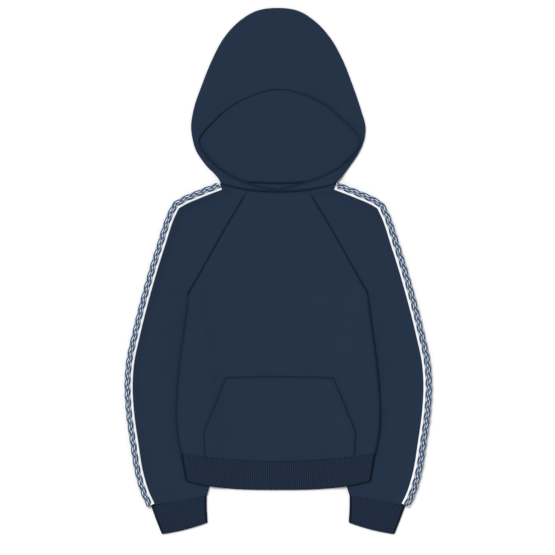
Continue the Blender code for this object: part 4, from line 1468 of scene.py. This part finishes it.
def shoulder_lift(plan):
    """Lift of the hood where it lies by the trim of the shoulder: full near it, then sloping."""
    away = np.hypot(np.abs(plan[..., 0]) - SHOULDER_X, plan[..., 1] - SHOULDER_Y)
    return TRIM_HEIGHT * smooth((SLOPE_REACH - away) / (SLOPE_REACH - RAISED_REACH))


def hood_height(lift):
    """Height of the hood's two layers: less where it is lifted beside the trim."""
    return FLAT_HEIGHT - (FLAT_HEIGHT - FOLD_HEIGHT) * lift / TRIM_HEIGHT


def from_path(plan, path):
    """Distance in plan from each point of a grid to the nearest place of a path."""
    way = np.diff(path, axis=0)
    square = np.maximum(np.sum(way * way, axis=1), 1e-12)
    share = (plan @ way.T - np.sum(path[:-1] * way, axis=1)) / square
    share = np.clip(share, 0, 1)
    gap = [plan[..., None, k] - path[:-1, k] - share * way[:, k] for k in (0, 1)]
    return np.sqrt(np.min(gap[0] ** 2 + gap[1] ** 2, axis=-1))


def hood_grid():
    """Points of the hood, distance to the neck seam, distance to the rim, and knit place."""
    t = HOOD_SECTIONS
    left = np.stack([-t[:, 1], t[:, 0], -t[:, 4], t[:, 3], t[:, 6]], axis=1)
    right = np.stack([t[:, 2], t[:, 0], t[:, 5], t[:, 3], t[:, 6]], axis=1)
    table = np.vstack([left, right[-2::-1]])
    crown = len(t) - 1
    length = outline_length(left)
    distance = spaced(length, ROW_STEP, HOOD_STEPS)
    distance = distance[:np.searchsorted(distance, length - HOOD_STEPS[-1] * 1.01)]
    rest = np.arange(length, distance[-1] + ROW_STEP / 2, -ROW_STEP)[::-1]
    distance = np.concatenate([distance, rest])
    places = places_at(left, distance)
    places = np.concatenate([places, 2 * crown - places[-2::-1]])
    below = np.concatenate([distance, distance[-2::-1]])[:, None]
    rows = along(table, places, free=5)
    inward = turned(unit(np.gradient(rows[:, :2], axis=0)))
    outline, rim = rows[:, :2], rows[:, 2:4]
    spine = np.stack([0 * rows[:, 4], (rows[:, 4] + rows[::-1, 4]) / 2], axis=1)
    radius = hood_height(shoulder_lift(outline)) / 2
    rise = HOOD_RISE * smooth((outline[:, 1] - t[0, 0]) / HOOD_RISE_LENGTH)[:, None]
    rise = rise - HOOD_SINK * smooth((rim[:, 1] - HOOD_SINK_Y) / HOOD_RISE_LENGTH)[:, None]
    parts = []
    for back, target in ((False, rim), (True, spine)):
        way = target - outline
        width = np.linalg.norm(way, axis=1)
        way = way / width[:, None]
        lean = np.maximum(np.sum(way * inward, axis=1), LEAN_LEAST)
        turn = (radius / lean)[:, None]
        flat = width[:, None] - (0 if back else SEAM_STEPS[-1])
        even = flat + (turn - flat) * np.linspace(0, 1, HOOD_COLUMNS)[None, 1:]
        start = width[:, None] - (SEAM_STEPS[:1] if back else SEAM_STEPS)[None]
        reach = np.hstack([start, even])
        plan = outline[:, None] + way[:, None] * reach[..., None]
        if back:
            plan[:, 0] = spine
        wrong = neck(plan[..., 0], back) + SEAM_GAP / 2 - plan[..., 1]
        nearer_end = np.where(np.arange(len(plan)) < len(plan) // 2, 0, -1)
        plan[..., 1] += wrong[nearer_end] * (1 - smooth(below / NECK_BLEND))
        x, y = plan[..., 0], plan[..., 1]
        up = shoulder_lift(plan)
        away = 1.0 + 0 * x if back else from_path(plan, rim)
        free = reach - turn
        near = np.minimum(below, away)
        soft = smooth(near / HOOD_SOFT) * smooth(free / SOFT_REACH)
        broad = undulation(x, y, height=0.0004, size=0.080, turn=5.0 + 2.0 * back)
        wave = (broad + creases(x, y, HOOD_CREASES) * (not back)) * soft
        small = puckers(x, below + 0 * x, height=0.0002)
        wave = wave + small * smooth(below / PUCKER_CLEAR) * smooth(free / HOOD_FREE)
        fall = rolled(below + 0 * x)
        if back:
            z = np.maximum(up + fall + np.maximum(wave, 0) * BACK_WAVE, 0)
        else:
            share = np.clip(free / (width[:, None] - turn), 0, 1)
            lip = rolled(away, HOOD_LIP)
            z = up + hood_height(up) + rise * smooth(share / HOOD_CREST) + wave - fall - lip
        bend = (radius[:, None] * (1 - np.cos(FOLD_TURN))[None]) / lean[:, None]
        arc = outline[:, None] + way[:, None] * bend[..., None]
        rising = 1 + np.sin(FOLD_TURN)[None] * (-1 if back else 1)
        level = shoulder_lift(arc) + radius[:, None] * rising
        knit = np.hstack([reach + (np.pi / 2 - 1) * radius[:, None],
                          radius[:, None] * FOLD_TURN[None]])
        uv = outline[:, None] + way[:, None] * knit[..., None]
        points = np.concatenate([grid(x, y, z), grid(arc[..., 0], arc[..., 1], level)], axis=1)
        seam = np.hstack([below + 0 * x, below + 0 * bend])
        edge = np.hstack([away, 1.0 + 0 * bend])
        parts.append((points, seam, edge, uv))
    return [np.concatenate([f, b[:, -2::-1]], axis=1) for f, b in zip(*parts)]


# %% Hood
def rim_shade(points, edge):
    """Painted shade along the hood's rim: full below and faint above, faintest where its real shadow
    falls.
    """
    raised = smooth((points[..., 1] - RIM_FAINT_Y) / RIM_FAINT_LENGTH)
    lit = smooth((points[..., 0] - RIM_LIT_X) / RIM_LIT_WIDTH)
    return (1.0 - raised * (RIM_FAINT - RIM_LIT * lit)) * seam_shade(edge, HOOD_SHADE)


points, below, edge, knit = hood_grid()
# painted shade at the neck seam and along the rim of the face opening
hood = cloth("hood_cloth", "hood", SWEATSHIRT_KNIT, points,
             CLOTH * pressed(below), knit, np.maximum(seam_shade(below), rim_shade(points, edge)),
             joined=True)
over = facing_up(points)
free = below[:, 0] > HOOD_STITCH_START
rows = [(contour(points[free], edge[free], away), contour(over[free], edge[free], away))
        for away in HOOD_STITCH_ROWS]
hood_thread = stitching("hood_stitches", "hood", rows)

# %% [markdown]
# The setting. The garment lies on a white floor, seen from straight above through a long lens,
# so its outline is nearly free of perspective. An even white sky gives a little less than half
# of the light. A broad soft sun gives the rest: it stands high, a little beyond the top left
# corner, and gives the folds and the trim their shape. Together they light a level surface so
# that a colour shows about as it is written.

# %% Floor and light
FLOOR_CLEAR = 0.00002
FLOOR_HALF = 4
FLOOR_LIT = (0.80, 0.80, 0.80)
FLOOR_SEEN = (1.0, 1.0, 1.0)
SKY_LEVEL = 0.45
SUN_LEVEL = 0.60
SUN_PLACE = (-0.9, 1.2, 3.0)
SUN_SPREAD = 24.0


def white_floor():
    """A level white floor under the garment, white to the camera wherever nothing shades it."""
    mesh = bpy.data.meshes.new("floor")
    x, y = CENTRE[:2]
    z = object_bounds()[0][2] - FLOOR_CLEAR
    turns = ((-1, -1), (1, -1), (1, 1), (-1, 1))
    corners = [(x + FLOOR_HALF * a, y + FLOOR_HALF * b, z) for a, b in turns]
    mesh.from_pydata(corners, [], [(0, 1, 2, 3)])
    material, tree, shader = start_material("white floor", roughness=0.9, sheen=0.0, shine=0.0)
    rays = tree.nodes.new("ShaderNodeLightPath")
    seen = maths(tree, "MAXIMUM", rays.outputs["Is Camera Ray"], rays.outputs["Is Glossy Ray"])
    seen = maths(tree, "MAXIMUM", seen, rays.outputs["Is Transmission Ray"])
    colour = mixed(tree, seen, FLOOR_LIT, FLOOR_SEEN)
    tree.links.new(colour, shader.inputs["Base Color"])
    mesh.materials.append(material)
    return added("floor", mesh)


def sky(level):
    """An even white sky."""
    world = bpy.data.worlds.new("white sky")
    world.use_nodes = True
    background = world.node_tree.nodes["Background"]
    background.inputs["Color"].default_value = (1.0, 1.0, 1.0, 1.0)
    background.inputs["Strength"].default_value = level
    bpy.context.scene.world = world


def aimed(thing, place, target):
    """Puts a lamp or camera at a place and turns it to face a target."""
    thing.location = place
    thing.rotation_euler = (Vector(target) - Vector(place)).to_track_quat("-Z", "Y").to_euler()


def soft_sun(name, place, spread, level):
    """A broad sun, which lights a level surface alike everywhere, to a share of full white."""
    light = bpy.data.lights.new(name, "SUN")
    light.angle = np.radians(spread)
    light.energy = np.pi * level * np.linalg.norm(place) / place[2]
    aimed(added(name, light), CENTRE + np.array(place), CENTRE)


floor = white_floor()
floor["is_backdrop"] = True
sky(SKY_LEVEL)
soft_sun("key lamp", SUN_PLACE, SUN_SPREAD, SUN_LEVEL)

# %% Camera
VIEW_DISTANCE = 4.93
VIEW_CENTRE = (-0.00096, -0.0104)
LENS_MM = 200.0
SENSOR_MM = 36.0
FURTHEST = 50.0


def camera():
    """A camera high above the garment, looking straight down with the hood at the top."""
    lens = bpy.data.cameras.new("camera")
    lens.lens = LENS_MM
    lens.sensor_width = SENSOR_MM
    lens.clip_end = FURTHEST
    eye = added("camera", lens)
    eye.location = CENTRE + np.array([*VIEW_CENTRE, VIEW_DISTANCE])
    return eye


bpy.context.scene.camera = camera()
bpy.context.scene.view_settings.view_transform = "Standard"
